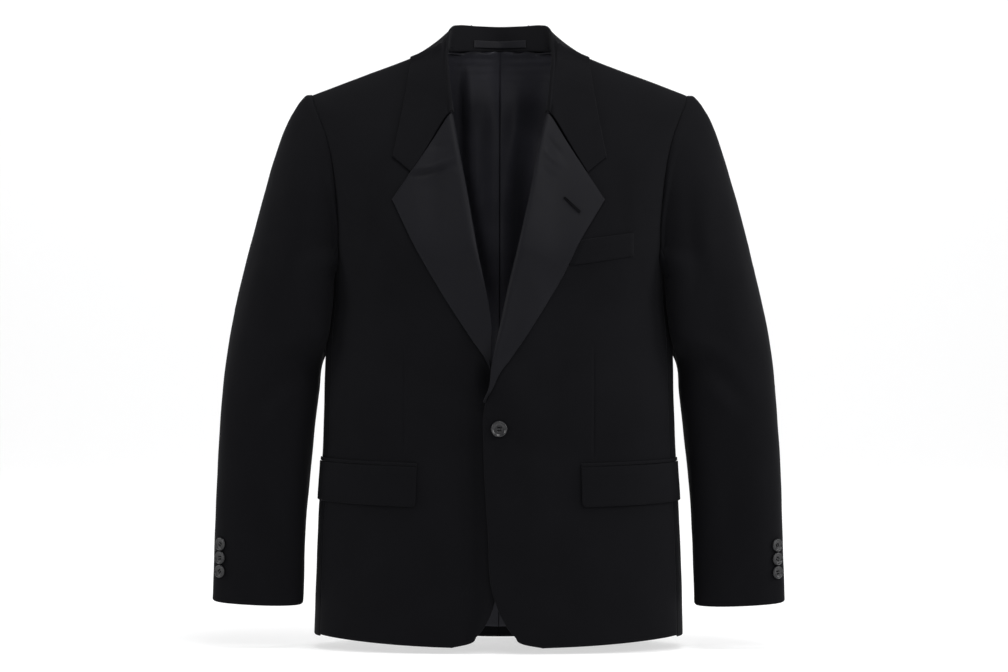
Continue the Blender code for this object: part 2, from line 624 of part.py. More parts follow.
def collar_grid(shares, fall_shares):
    """Points of the collar's visible face: up the stand, over the fold and down the fall."""
    shares = np.asarray(shares, float)
    seam, fold, edge = collar_sections(shares)
    away = unit(edge - fold)
    down = unit(seam - fold)
    top_in = fold - away * FOLD_REACH + down * 0.0030
    top_out = fold + away * FOLD_REACH + down * 0.0014
    columns = [seam, 0.5 * (seam + top_in), top_in, fold, top_out]
    end = np.abs(shares)
    side = np.where(shares < 0, -1.0, 1.0)
    weight = ease(end, 0.72, 1.0) ** 1.3
    for share in fall_shares:
        point = top_out + (edge - top_out) * share
        corner = min(share / NOTCH_SHARE, 1.0)
        tip = max((share - NOTCH_SHARE) / (1 - NOTCH_SHARE), 0.0)
        gorge_x = GORGE_START[0] + (NOTCH_CORNER[0] - GORGE_START[0]) * corner
        gorge_z = GORGE_START[1] + (NOTCH_CORNER[1] - GORGE_START[1]) * corner
        end_x = gorge_x + (COLLAR[-1].edge_x - NOTCH_CORNER[0]) * tip
        end_z = gorge_z + (COLLAR[-1].edge_z - NOTCH_CORNER[1]) * tip
        line_x = COLLAR[-1].x + (COLLAR[-1].edge_x - COLLAR[-1].x) * share
        line_z = COLLAR[-1].z + (COLLAR[-1].edge_z - COLLAR[-1].z) * share
        point[:, 0] += side * (end_x - line_x) * weight
        point[:, 2] += (end_z - line_z) * weight
        across = np.abs(point[:, 0])
        rise = REST_RISE + 0.0033 * (1 - share) ** 2
        for face, near in ((-1, end > 0.54), (1, end < 0.50)):
            normal = np.abs(face_normal(across, point[:, 2], face)[:, 1])
            least = face * body_y(across, point[:, 2], face) + rise / np.maximum(normal, 0.35)
            point[:, 1] = np.where(near, face * np.maximum(face * point[:, 1], least), point[:, 1])
        columns.append(point)
    return np.stack(columns, axis=1)


def add_collar():
    """The collar: one folded wall from the neck seam over the fold to the outer edge."""
    grid = collar_grid(np.linspace(-1, 1, 31), FALL_SHARES)
    outer = inset(grid)
    wall("collar", outer, outer - grid_normals(grid) * CLOTH, WOOL)


def ring_points(turn, z, out=0.0):
    """Points round the lower body moved out: 0 degrees is the side and 90 the middle of the front."""
    def on_ring(angle, height):
        across = np.cos(np.radians(angle)) ** (2 / RING_POWER)
        ahead = np.abs(np.sin(np.radians(angle))) ** (2 / RING_POWER)
        return points(smooth(BODY, "half_width", height) * across,
                      smooth(BODY, "centre", height) - smooth(BODY, "front", height) * ahead, height)

    step = 0.5
    round_body = on_ring(turn + step, z) - on_ring(turn - step, z)
    upward = on_ring(turn, z + 0.001) - on_ring(turn, z - 0.001)
    normal = unit(np.cross(upward, round_body))
    return on_ring(turn, z) + normal * out


def pocket_line(columns):
    """Turns and heights along a pocket's seam, from its front end to its rear end."""
    share = np.linspace(0, 1, columns)
    half = float(smooth(BODY, "half_width", POCKET_Z))
    first = math.degrees(math.acos((FLAP_FRONT_X / half) ** (RING_POWER / 2)))
    return first + (FLAP_REAR_TURN - first) * share ** 1.15, POCKET_Z + POCKET_CLIMB * share


def add_pockets():
    """A jet and a flap at each hip pocket, the flap's lower front corner rounded."""
    turns, seam = pocket_line(12)
    from_end = np.linspace(0, FLAP_WIDTH, 12)
    bend = 1 - np.minimum(from_end / FLAP_CORNER, 1)
    corner = FLAP_CORNER * (1 - np.sqrt(1 - bend ** 2))
    z = seam - (FLAP_HEIGHT - corner) * np.array(FLAP_DROPS)[:, None] - 2 * SEAM
    flap = ring_points(np.broadcast_to(turns, z.shape), z, FLAP_RISE)
    band = seam + np.array((0.0, JET_HEIGHT))[:, None]
    jet = ring_points(np.broadcast_to(turns, band.shape), band, JET_RISE)
    for name, side in SIDES.items():
        for start, grid, depth in (("flap_", flap, CLOTH), ("pocket_jet_", jet, JET_DEPTH)):
            inner = grid - outward(grid, (1, -1, 0)) * depth
            wall(start + name, mirrored(grid, side), mirrored(inner, side), WOOL)


def add_breast_welt():
    """The slanted welt of the breast pocket on the wearer's left front."""
    across = np.linspace(0, 1, 6)
    x = WELT_X + WELT_WIDTH * across
    z = WELT_TOP_Z + WELT_CLIMB * across - WELT_HEIGHT * np.array((0.0, 0.5, 1.0))[:, None]
    grid = front_points(1, np.broadcast_to(x, z.shape), z, JET_RISE)
    inner = grid - outward(grid, (0, -1, 0)) * JET_DEPTH
    wall("breast_welt", grid, inner, WOOL)


def button(name, centre, normal, radius, depth, segments):
    """A turned button with a raised rim and a dished face, its back on the given centre."""
    normal = unit(np.array(normal, float))
    side = unit(np.cross(normal, (0.0, 0.0, 1.0)))
    up = np.cross(side, normal)
    vertices = []
    rings = []
    for row in BUTTON_PROFILE:
        middle = centre + normal * row.height * depth
        if row.radius == 0.0:
            rings.append([len(vertices)])
            vertices.append(middle)
            continue
        rings.append(list(range(len(vertices), len(vertices) + segments)))
        for k in range(segments):
            angle = 2 * math.pi * k / segments
            spoke = side * math.cos(angle) + up * math.sin(angle)
            vertices.append(middle + spoke * radius * row.radius)
    faces = []
    for low, high in zip(rings, rings[1:]):
        for k in range(segments):
            after = (k + 1) % segments
            if len(low) == 1:
                faces.append((low[0], high[k], high[after]))
            elif len(high) == 1:
                faces.append((low[k], low[after], high[0]))
            else:
                faces.append((low[k], low[after], high[after], high[k]))
    add_object(name, vertices, faces, HORN)


def add_buttons():
    """The front button and three touching cuff buttons on each sleeve."""
    place = front_points(1, np.array([BUTTON_X]), np.array([BUTTON_Z]), BUTTON_LIFT)[0]
    button("button_front", place, (0.0, -1.0, 0.0), BUTTON_RADIUS, BUTTON_DEPTH, 18)
    turn = np.array([CUFF_BUTTON_TURN])
    for number in range(3):
        z = np.array([CUFF_Z + CUFF_BUTTON_RISE + number * CUFF_BUTTON_PITCH])
        normal = -tube_inward(turn, z)[0]
        centre = tube_points(turn, z)[0] + normal * BUTTON_LIFT
        for name, side in SIDES.items():
            flip = np.array((side, 1.0, 1.0))
            label = "cuff_button_" + name + "_" + str(number + 1)
            button(label, centre * flip, normal * flip, CUFF_BUTTON_RADIUS, CUFF_BUTTON_DEPTH, 12)


def add_lining():
    """The two halves of the back lining, which meet in a soft centre pleat."""
    x, z = back_grid()
    x = x[2:-2]
    z = z[2:-2]
    base = points(x, body_y(x, z, 1), z) - face_normal(x, z, 1) * (CLOTH + LINING_AIR)
    base[:, -1] += unit(base[:, -2] - base[:, -1]) * LINING_RETURN
    extra = [base[:, 0] + (base[:, 1] - base[:, 0]) * share for share in PLEAT_SHARES]
    outer = np.concatenate((base[:, :1], np.stack(extra, axis=1), base[:, 1:]), axis=1)
    outer[:, 0, 0] += 2 * SEAM
    pleat = (1 - ease(outer[..., 0], 0.002, 0.024)) * ease(-outer[..., 2], 0.02, 0.08)
    outer[..., 1] -= PLEAT_DEPTH * pleat
    inward = outward(outer, (0, -1, 0))
    inward[:, 0, 0] = 0.0
    inner = outer + inward * LINING
    for name, side in SIDES.items():
        wall("lining_back_" + name, mirrored(outer, side), mirrored(inner, side), LINING_CLOTH)


def add_hanger_loop():
    """The flat loop inside the collar stand, by which the jacket hangs."""
    grid = collar_grid(np.linspace(-LOOP_SHARE, LOOP_SHARE, 9), FALL_SHARES)
    low = grid[:, 0]
    high = grid[:, 2]
    strip = low + (high - low) * np.array(LOOP_BAND)[:, None, None]
    normal = outward(strip, (0, -1, 0))
    base = strip + normal * 0.0005
    wall("hanger_loop", base + normal * LOOP_THICKNESS, base, WOOL)


def main():
    for old in list(bpy.data.objects):
        bpy.data.objects.remove(old, do_unlink=True)
    add_fronts()
    add_sides()
    add_backs()
    add_sleeves()
    add_lapels()
    add_collar()
    add_pockets()
    add_breast_welt()
    add_buttons()
    add_lining()
    add_hanger_loop()


main()
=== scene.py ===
"""Tuxedo jacket: a one-button dinner jacket with notched satin lapels.

Metres, +Z up. The front faces -Y and +X is the wearer's left. The origin is the nape:
the inside of the collar seam at the centre of the back. Each panel is made as a thin
shell on its own form, with the folds of worn cloth laid over it.
"""
import math
from collections import namedtuple

import bpy
import numpy as np
from mathutils import Matrix, Vector


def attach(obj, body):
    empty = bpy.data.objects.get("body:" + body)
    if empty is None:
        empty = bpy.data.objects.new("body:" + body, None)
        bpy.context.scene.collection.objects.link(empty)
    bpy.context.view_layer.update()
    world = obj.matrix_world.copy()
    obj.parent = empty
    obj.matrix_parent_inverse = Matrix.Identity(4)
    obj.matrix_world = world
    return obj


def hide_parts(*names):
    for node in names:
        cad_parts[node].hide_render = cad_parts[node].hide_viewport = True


bl_info = {
    "name": "Tuxedo jacket",
    "version": (1, 0, 0),
    "blender": (4, 5, 0),
    "location": "3D View > Sidebar > Jacket",
    "description": "Makes a one-button dinner jacket with satin lapels, and its studio",
    "category": "Object",
}

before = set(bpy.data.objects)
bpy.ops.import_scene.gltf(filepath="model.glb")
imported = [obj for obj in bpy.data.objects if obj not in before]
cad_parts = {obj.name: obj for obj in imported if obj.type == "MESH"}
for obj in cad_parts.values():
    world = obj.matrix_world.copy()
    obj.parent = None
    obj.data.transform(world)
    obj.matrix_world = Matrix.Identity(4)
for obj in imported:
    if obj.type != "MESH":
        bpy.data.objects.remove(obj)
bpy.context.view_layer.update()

CLOTH = 0.0018          # wall of the wool panels
LINING = 0.0011         # wall of the back lining
LINING_AIR = 0.0009     # air between the back and its lining
LINING_RETURN = 0.006   # how far the lining's side edge stays inside the side seam
EDGE_ROOM = 0.0006      # each panel's face stops this short of its edge, where the fold rounds
EDGE_ROUND = 0.0007     # how far the rounded edge reaches past the face
EDGE_DROP = 0.00025     # how far the face has dropped where the rounding starts
LINING_EDGE_DROP = 0.0001   # and of the thinner lining
EDGE_STEPS = np.array((0.0, 0.0012, 0.0030, 0.0065))    # distances from an edge of its first points
OVERLAP = 0.0026        # how far each front leaves the middle layer where they overlap
BREAK_SPRING = 0.0060   # how much farther the left front stands off where its lapel starts to turn
BREAK_DIP = 0.0120      # and how much farther the right front is pressed in beneath it
BREAK_RISE = 0.024      # the middle of that spring lies this far above the roll's lower end
BREAK_REACH = 0.030     # and it fades over this height
REST_RISE = 0.0025      # outer face of a piece that lies flat on a front
RIDGE_RISE = 0.0006     # and of the collar's edge where it crosses the shoulder seam
FALL_RISE = 0.0033      # how much higher the collar's fall stands at its fold
COLLAR_PASSES = 6       # times the fall is evened out where it turns round the neck
RING_POWER = 2.6        # squareness of the body's cross section
WAIST_POWER = 2.15      # and where it is rounder, beside the lapping sleeves
SHOULDER_POWER = {-1: 1.35, 1: 1.6}     # how squarely the front and the back turn over the shoulder
SHOULDER_Y = -0.062     # depth of the shoulder seams
NECK_X = 0.074          # where the shoulder seam meets the neck
NECK_Y = -0.075         # middle of the neck opening
BACK_NECK_Z = 0.0080    # back neck seam at its middle
TIP_X = 0.238           # shoulder point, half of the shoulder width
TIP_Z = -0.055
NOTCH_Z = -0.245        # height where the body seams meet the armhole
UNDERARM_Z = -0.290
HEM_FRONT_Z = -0.7460
HEM_BACK_Z = -0.7522
HEM_SIDE_Z = -0.7365    # hem at the seams beside the side bodies
HEM_OUTER_Z = -0.7337   # hem where the body is widest
LINING_HEM = 0.014      # the back lining ends this far above the hem
HOLE_GAP = 0.0003       # air between a sleeve's head and the armhole
TOUCH_SOFT = 0.0008     # how softly the sleeve turns to lie along the side of the body
SLEEVE_AIR = 0.0034     # more air where the sleeve lies against the side of the body
CUFF_Z = -0.694
CUFF_DIP = 0.004        # the cuff's front hangs this much lower than its middle
CUFF_SLANT = 0.0025     # the cuff's inner side hangs this much lower than its middle
HINDARM_HOLE = -0.155   # height where the rear sleeve seam leaves the armhole
HINDARM_CUFF_TURN = 4.0
FOREARM_CUFF_TURN = 190.0
GORGE_Z = -0.0860       # upper end of the lapel's roll line
BREAK_Z = -0.4420       # lower end of the lapel's roll line
LAPEL_POINT_Z = -0.1930
LAPEL_FOOT_Z = -0.4425
SEAM_ROOM = 0.0002      # more room over the shoulder seam, where the surface turns quickly
NECK_AHEAD = 0.0045     # and how much farther forward the stand passes beside the lining
NECK_GAP = 0.0038       # room between the collar's stand and the neck edge it is sewn into
FOLD_REACH = 0.0026     # half thickness of the collar at its fold
FLAP_FRONT_X = 0.101
FLAP_REAR_TURN = 7.0    # degrees forward of the side of the body
FLAP_HEIGHT = 0.049
FLAP_WIDTH = 0.155
FLAP_CORNER = 0.0055
FLAP_RISE = 0.0033
POCKET_Z = -0.5222      # pocket seam at its front end
POCKET_CLIMB = 0.0053
JET_HEIGHT = 0.0044
JET_DEPTH = 0.0014
JET_RISE = 0.0024
WELT_X = 0.101
WELT_WIDTH = 0.065
WELT_TOP_Z = -0.2430
WELT_CLIMB = 0.0100
WELT_HEIGHT = 0.0290
WELT_TUCK = 0.0150      # length of the breast welt that lies under the lapel
WELT_LOW = 0.0008       # height of the welt where it is sewn flat
DART_X = 0.117          # dart in each front, from under the chest to the pocket
DART_TOP_Z = -0.366
DART_FOOT_Z = -0.517
DART_DEPTH = 0.0008
DART_SHARE = 0.58       # place of the dart's column across the front
SHOULDER_ROPE = 0.0016  # how far the sleeve's head stands up behind its seam
HEAD_SWELL = 0.0024     # and how full it is at the front of the armhole
BUTTON_X = 0.0003
BUTTON_Z = -0.475
BUTTON_LIFT = 0.0004    # air under every button
BUTTON_DEPTH = 0.0040
CUFF_BUTTON_DEPTH = 0.0032
CUFF_BUTTON_PITCH = 0.0170
CUFF_BUTTON_TURN = 43.0
CUFF_BUTTON_RISE = 0.0380   # lowest cuff button above the cuff
LOOP_SHARE = 0.165      # half length of the hanger loop, as a share of the collar
LOOP_BAND = (0.12, 0.42)    # its lower and upper edge, as shares of the stand
LOOP_THICKNESS = 0.0009
LOOP_AIR = 0.0005       # air between the loop and the stand
PLEAT_DEPTH = 0.0045    # how far the lining's centre pleat stands forward
HANG_NEAR = 0.020       # how far the lining hangs forward of the back beside the centre seam
HANG_FAR = 0.040        # and how much farther it is pulled towards the left front
LINING_DROP = 0.0008    # the lining's top edge lies this far below the back's
CORNER_DROP = 0.0042    # and this much lower again where the collar's stand turns forward
WAVE_HEIGHT = 0.00045   # unevenness of pressed cloth
RIPPLE_HEIGHT = 0.00018
SIDES = {"left": 1, "right": -1}

Ring = namedtuple("Ring", "z half_width front back centre")
BODY = (
    Ring(-0.760, 0.2335, 0.112, 0.118, -0.080),
    Ring(-0.670, 0.2312, 0.113, 0.112, -0.081),
    Ring(-0.600, 0.2285, 0.114, 0.105, -0.082),
    Ring(-0.500, 0.2225, 0.114, 0.095, -0.084),
    Ring(-0.430, 0.2203, 0.117, 0.095, -0.084),
    Ring(-0.376, 0.2190, 0.121, 0.101, -0.082),
    Ring(-0.290, 0.2120, 0.124, 0.117, -0.080),
    Ring(-0.230, 0.2120, 0.124, 0.123, -0.080),
    Ring(-0.168, 0.2185, 0.122, 0.124, -0.080),
    Ring(-0.110, 0.2380, 0.118, 0.121, -0.080),
    Ring(-0.050, 0.2680, 0.112, 0.110, -0.078),
    Ring(0.060, 0.2900, 0.105, 0.100, -0.075),
)
Slope = namedtuple("Slope", "x z front_reach back_reach")
SHOULDER = (
    Slope(0.000, 0.052, 0.300, 0.130),
    Slope(0.040, 0.032, 0.290, 0.134),
    Slope(0.074, 0.0095, 0.280, 0.138),
    Slope(0.104, -0.0038, 0.250, 0.134),
    Slope(0.170, -0.0293, 0.180, 0.120),
    Slope(TIP_X, TIP_Z, 0.115, 0.095),
    Slope(0.270, -0.067, 0.110, 0.090),
)
Edge = namedtuple("Edge", "z left right")
FRONT_EDGE = (
    Edge(-0.7455, 0.055, 0.058),
    Edge(-0.7418, 0.035, 0.040),
    Edge(-0.7310, 0.020, 0.0265),
    Edge(-0.7100, 0.005, 0.012),
    Edge(-0.6860, -0.005, 0.004),
    Edge(-0.6000, -0.0135, -0.010),
    Edge(-0.5200, -0.0183, -0.018),
    Edge(-0.4900, -0.0192, -0.014),
    Edge(-0.4600, -0.0193, -0.010),
    Edge(-0.4420, -0.0165, -0.002),
    Edge(-0.4250, -0.0095, 0.0050),
    Edge(-0.4000, -0.0062, 0.0110),
    Edge(-0.3790, -0.0025, 0.0128),
    Edge(-0.3500, 0.0036, 0.0126),
    Edge(-0.3240, 0.0090, 0.0158),
    Edge(-0.2970, 0.0148, 0.0212),
    Edge(-0.2510, 0.0258, 0.0308),
    Edge(-0.1930, 0.0388, 0.0410),
    Edge(-0.1270, 0.0515, 0.0535),
    Edge(-0.0840, 0.0612, 0.0612),
    Edge(-0.0450, 0.0690, 0.0690),
    Edge(0.0095, 0.0740, 0.0740),
)
LAPEL_EDGE = (
    Edge(-0.4425, -0.0180, -0.0035),
    Edge(-0.4250, -0.0075, 0.0058),
    Edge(-0.4070, 0.0005, 0.0100),
    Edge(-0.3900, 0.0130, 0.0170),
    Edge(-0.3660, 0.0300, 0.0332),
    Edge(-0.3410, 0.0460, 0.0500),
    Edge(-0.2910, 0.0760, 0.0810),
    Edge(-0.2480, 0.0975, 0.1055),
    Edge(-0.1930, 0.1300, 0.1325),
)
Hole = namedtuple("Hole", "z x turn")
ARMHOLE = (
    Hole(NOTCH_Z, 0.2035, 130.0),
    Hole(-0.215, 0.2030, 122.0),
    Hole(-0.185, 0.2045, 113.0),
    Hole(-0.155, 0.2080, 101.0),
    Hole(-0.130, 0.2125, 90.0),
    Hole(-0.105, 0.2195, 74.0),
    Hole(-0.085, 0.2275, 57.0),
    Hole(-0.066, 0.2350, 34.0),
    Hole(TIP_Z, TIP_X, 0.0),
)
Tube = namedtuple("Tube", "z outer inner centre half_depth")
SLEEVE = (
    Tube(-0.704, 0.3602, 0.2464, -0.105, 0.0300),
    Tube(-0.606, 0.3578, 0.2440, -0.094, 0.0440),
    Tube(-0.480, 0.3530, 0.2335, -0.084, 0.0560),
    Tube(-0.376, 0.3435, 0.2210, -0.079, 0.0640),
    Tube(-0.340, 0.3375, 0.2172, -0.078, 0.0660),
    Tube(UNDERARM_Z, 0.3262, 0.2126, -0.078, 0.0670),
    Tube(-0.245, 0.3148, 0.2080, -0.077, 0.0680),
    Tube(-0.178, 0.2972, 0.2080, -0.074, 0.0680),
    Tube(-0.138, 0.2857, 0.2080, -0.070, 0.0600),
    Tube(-0.100, 0.2728, 0.2080, -0.066, 0.0500),
    Tube(-0.075, 0.2608, 0.2080, -0.064, 0.0400),
    Tube(-0.0605, 0.2500, 0.2080, -0.063, 0.0330),
    Tube(TIP_Z, 0.2420, 0.2080, -0.062, 0.0300),
)
LAP_FORWARD = 0.008     # how far the sleeve stands in front of the body where it laps over it
LAP_FULL = 0.008        # the shift at which it stands there in full
Lap = namedtuple("Lap", "z shift square")
SLEEVE_LAP = (
    Lap(-0.710, 0.0000, 2.8),
    Lap(-0.430, 0.0000, 2.8),
    Lap(-0.392, 0.0000, 2.8),
    Lap(-0.380, 0.0040, 3.0),
    Lap(-0.366, 0.0075, 3.8),
    Lap(-0.341, 0.0088, 4.0),
    Lap(-0.316, 0.0088, 4.0),
    Lap(-0.290, 0.0084, 3.8),
    Lap(-0.272, 0.0070, 3.4),
    Lap(-0.258, 0.0035, 3.0),
    Lap(-0.247, 0.0000, 2.7),
    Lap(-0.220, 0.0000, 2.3),
    Lap(-0.180, 0.0000, 2.0),
    Lap(-0.120, 0.0000, 2.0),
)
Fold = namedtuple("Fold", "share x y z edge_x edge_z edge_face seam_x seam_z")
COLLAR = (
    Fold(0.00, 0.0000, 0.0030, 0.0370, 0.0000, -0.0170, 1, 0.0000, 0.0070),
    Fold(0.15, 0.0310, -0.0010, 0.0375, 0.0450, -0.0165, 1, 0.0350, 0.0066),
    Fold(0.30, 0.0530, -0.0160, 0.0375, 0.0830, -0.0150, 1, 0.0620, 0.0046),
    Fold(0.42, 0.0630, -0.0360, 0.0335, 0.1030, -0.0110, 1, 0.0710, 0.0040),
    Fold(0.52, 0.0670, -0.0600, 0.0205, 0.1095, -0.0070, 0, 0.0740, 0.0050),
    Fold(0.62, 0.0680, -0.0850, -0.0020, 0.1140, -0.0250, -1, 0.0735, -0.0080),
    Fold(0.75, 0.0665, -0.1080, -0.0280, 0.1180, -0.0520, -1, 0.0715, -0.0300),
    Fold(0.88, 0.0640, -0.1270, -0.0560, 0.1240, -0.0900, -1, 0.0672, -0.0560),
    Fold(1.00, 0.0622, -0.1375, -0.0812, 0.1330, -0.1385, -1, 0.0620, -0.0800),
)
GORGE_START = (0.0632, -0.0830)
NOTCH_CORNER = (0.1088, -0.1590)
NOTCH_SHARE = 0.62      # place of the notch's corner along the collar's end
RollPoint = namedtuple("RollPoint", "share along rise")
ROLL = (
    RollPoint(0.00, -0.0024, -0.0009),
    RollPoint(0.00, -0.0033, 0.0020),
    RollPoint(0.00, -0.0010, 0.0052),
    RollPoint(0.08, 0.0, 0.0062),
    RollPoint(0.30, 0.0, 0.0049),
    RollPoint(0.55, 0.0, 0.0037),
    RollPoint(0.80, 0.0, 0.0030),
    RollPoint(1.00, 0.0, REST_RISE),
)
Soft = namedtuple("Soft", "start end")
# How far below the nape the soft roll of each lapel starts and ends to press flat.
ROLL_SOFT = {"left": Soft(0.330, 0.405), "right": Soft(0.240, 0.325)}
LEVELS = (-0.727, -0.712, -0.685, -0.640, -0.580, -0.520, -0.460, -0.400, -0.345, -0.295)
EDGE_LEVELS = (-0.7455, -0.7400, -0.726, -0.698, -0.650, -0.585, -0.520, -0.460, -0.402, -0.345,
               -0.290, -0.232, -0.196, -0.160, -0.124, -0.094, -0.064, -0.038, -0.014, 0.0095)
FALL_SHARES = (0.31, 0.62, 0.81, 1.0)

Crease = namedtuple("Crease", "x z to_x to_z bow width depth")
# Soft folds on the cloth: a line from one point to another, bowed sideways. Depth above 0 is a
# ridge, below 0 a trough. On a front or back x is the half width; on a sleeve x is the turn / 1000.
FRONT_CREASES = {
    "left": (
        Crease(0.010, -0.470, 0.150, -0.425, -0.006, 0.016, 0.0011),
        Crease(0.012, -0.492, 0.130, -0.500, 0.006, 0.015, -0.0010),
        Crease(0.150, -0.130, 0.178, -0.300, 0.010, 0.012, -0.0016),
        Crease(0.168, -0.215, 0.150, -0.345, 0.004, 0.016, 0.0012),
        Crease(0.090, -0.350, 0.060, -0.460, 0.004, 0.016, -0.0009),
        Crease(0.055, -0.540, 0.070, -0.740, 0.004, 0.020, 0.0013),
        Crease(0.130, -0.560, 0.140, -0.735, -0.006, 0.024, -0.0012),
        Crease(0.190, -0.400, 0.205, -0.500, 0.004, 0.012, -0.0012),
    ),
    "right": (
        Crease(0.012, -0.468, 0.150, -0.440, -0.008, 0.016, 0.0012),
        Crease(0.012, -0.490, 0.120, -0.515, 0.004, 0.014, -0.0010),
        Crease(0.148, -0.140, 0.176, -0.310, 0.012, 0.012, -0.0018),
        Crease(0.164, -0.225, 0.142, -0.350, 0.006, 0.015, 0.0013),
        Crease(0.080, -0.345, 0.050, -0.450, 0.006, 0.014, -0.0011),
        Crease(0.036, -0.360, 0.032, -0.800, 0.004, 0.014, -0.0060),
        Crease(0.125, -0.575, 0.118, -0.735, 0.006, 0.022, -0.0013),
        Crease(0.188, -0.390, 0.204, -0.520, 0.004, 0.012, -0.0013),
    ),
}
BACK_CREASES = (
    Crease(0.170, -0.150, 0.182, -0.330, 0.012, 0.013, -0.0022),
    Crease(0.150, -0.170, 0.160, -0.330, 0.010, 0.014, 0.0015),
    Crease(0.060, -0.030, 0.150, -0.090, 0.010, 0.012, -0.0010),
    Crease(0.020, -0.440, 0.160, -0.405, 0.006, 0.014, -0.0016),
    Crease(0.030, -0.470, 0.150, -0.450, -0.006, 0.014, 0.0012),
    Crease(0.070, -0.540, 0.080, -0.740, 0.004, 0.022, 0.0016),
    Crease(0.140, -0.560, 0.145, -0.740, -0.005, 0.024, -0.0016),
)
SLEEVE_CREASES = {
    "left": (
        Crease(0.060, -0.120, 0.100, -0.300, 0.008, 0.011, 0.0013),
        Crease(0.084, -0.170, 0.122, -0.330, 0.006, 0.009, -0.0018),
        Crease(0.030, -0.200, 0.050, -0.420, 0.006, 0.016, -0.0010),
        Crease(0.120, -0.390, 0.070, -0.450, 0.004, 0.011, -0.0020),
        Crease(0.126, -0.418, 0.084, -0.468, 0.004, 0.010, 0.0014),
        Crease(0.115, -0.350, 0.060, -0.395, 0.004, 0.012, -0.0012),
        Crease(0.070, -0.470, 0.062, -0.660, 0.006, 0.015, 0.0012),
        Crease(0.110, -0.480, 0.104, -0.640, 0.004, 0.014, -0.0014),
        Crease(0.150, -0.330, 0.165, -0.520, 0.006, 0.014, -0.0016),
        Crease(0.250, -0.250, 0.262, -0.450, 0.008, 0.016, -0.0022),
        Crease(0.300, -0.180, 0.292, -0.380, 0.008, 0.014, 0.0018),
        Crease(0.230, -0.400, 0.330, -0.440, 0.008, 0.012, -0.0022),
        Crease(0.320, -0.460, 0.310, -0.660, 0.006, 0.016, -0.0014),
    ),
    "right": (
        Crease(0.058, -0.130, 0.094, -0.310, 0.009, 0.011, 0.0014),
        Crease(0.082, -0.180, 0.118, -0.350, 0.006, 0.009, -0.0018),
        Crease(0.036, -0.230, 0.044, -0.430, 0.008, 0.016, -0.0011),
        Crease(0.124, -0.405, 0.078, -0.455, 0.004, 0.011, -0.0019),
        Crease(0.128, -0.432, 0.090, -0.480, 0.004, 0.010, 0.0013),
        Crease(0.066, -0.450, 0.070, -0.650, 0.006, 0.015, 0.0013),
        Crease(0.104, -0.470, 0.110, -0.650, 0.004, 0.013, -0.0015),
        Crease(0.150, -0.340, 0.160, -0.540, 0.006, 0.014, -0.0016),
        Crease(0.246, -0.260, 0.258, -0.470, 0.008, 0.016, -0.0021),
        Crease(0.302, -0.190, 0.294, -0.400, 0.008, 0.014, 0.0017),
        Crease(0.236, -0.410, 0.334, -0.455, 0.008, 0.012, -0.0021),
        Crease(0.318, -0.470, 0.312, -0.660, 0.006, 0.016, -0.0014),
    ),
}
LAPEL_CREASES = {
    "left": (
        Crease(0.056, -0.112, 0.076, -0.136, 0.002, 0.0038, -0.0026),
        Crease(0.052, -0.130, 0.080, -0.152, 0.003, 0.0046, 0.0018),
        Crease(0.047, -0.150, 0.072, -0.168, 0.002, 0.0044, -0.0018),
        Crease(0.044, -0.188, 0.066, -0.196, 0.002, 0.0080, 0.0006),
        Crease(0.076, -0.196, 0.106, -0.214, 0.003, 0.0050, -0.0005),
        Crease(0.030, -0.260, 0.060, -0.330, 0.004, 0.0140, 0.0007),
    ),
    "right": (
        Crease(0.112, -0.165, 0.056, -0.1515, -0.003, 0.0026, -0.0044),
        Crease(0.110, -0.158, 0.058, -0.1440, -0.003, 0.0034, 0.0034),
        Crease(0.086, -0.128, 0.056, -0.128, 0.001, 0.0036, -0.0020),
        Crease(0.112, -0.166, 0.052, -0.158, 0.002, 0.0060, 0.0022),
        Crease(0.104, -0.178, 0.050, -0.186, 0.002, 0.0080, -0.0006),
        Crease(0.044, -0.250, 0.070, -0.320, 0.004, 0.0140, 0.0007),
    ),
}
LINING_CREASES = {
    "left": (
        Crease(0.062, 0.020, 0.046, -0.300, 0.006, 0.012, 0.0012),
        Crease(0.040, -0.380, 0.050, -0.700, 0.006, 0.020, 0.0030),
    ),
    "right": (
        Crease(0.022, 0.060, 0.016, -0.340, 0.003, 0.010, 0.0012),
        Crease(0.014, 0.060, 0.010, -0.240, 0.002, 0.008, 0.0012),
        Crease(0.046, -0.370, 0.042, -0.700, 0.006, 0.020, 0.0030),
    ),
}
Hang = namedtuple("Hang", "z x")
# The line at which the lining leaves its hang: right of the seam it ends there, left it grows.
HANG_LINE = {
    "left": (Hang(-0.200, 0.004), Hang(-0.140, 0.008), Hang(-0.075, 0.019), Hang(-0.010, 0.033)),
    "right": (Hang(-0.300, 0.011), Hang(-0.240, 0.023), Hang(-0.150, 0.039), Hang(-0.050, 0.044)),
}


def spline(places, values, at):
    """Values read between rising places on a smooth curve; a value may be a number or a point."""
    slopes = np.gradient(values, places, axis=0)
    at = np.clip(np.asarray(at, float), places[0], places[-1])
    k = np.clip(np.searchsorted(places, at) - 1, 0, len(places) - 2)
    span = places[k + 1] - places[k]
    t = (at - places[k]) / span
    if values.ndim > 1:
        span = span[..., None]
        t = t[..., None]
    start = (1 + 2 * t) * (1 - t) ** 2 * values[k] + t * (1 - t) ** 2 * span * slopes[k]
    end = t * t * (3 - 2 * t) * values[k + 1] + t * t * (t - 1) * span * slopes[k + 1]
    return start + end


def smooth(rows, column, at):
    """One column of a table, read on a smooth curve at a place along its first column."""
    places = np.array([row[0] for row in rows])
    values = np.array([getattr(row, column) for row in rows])
    return spline(places, values, at)


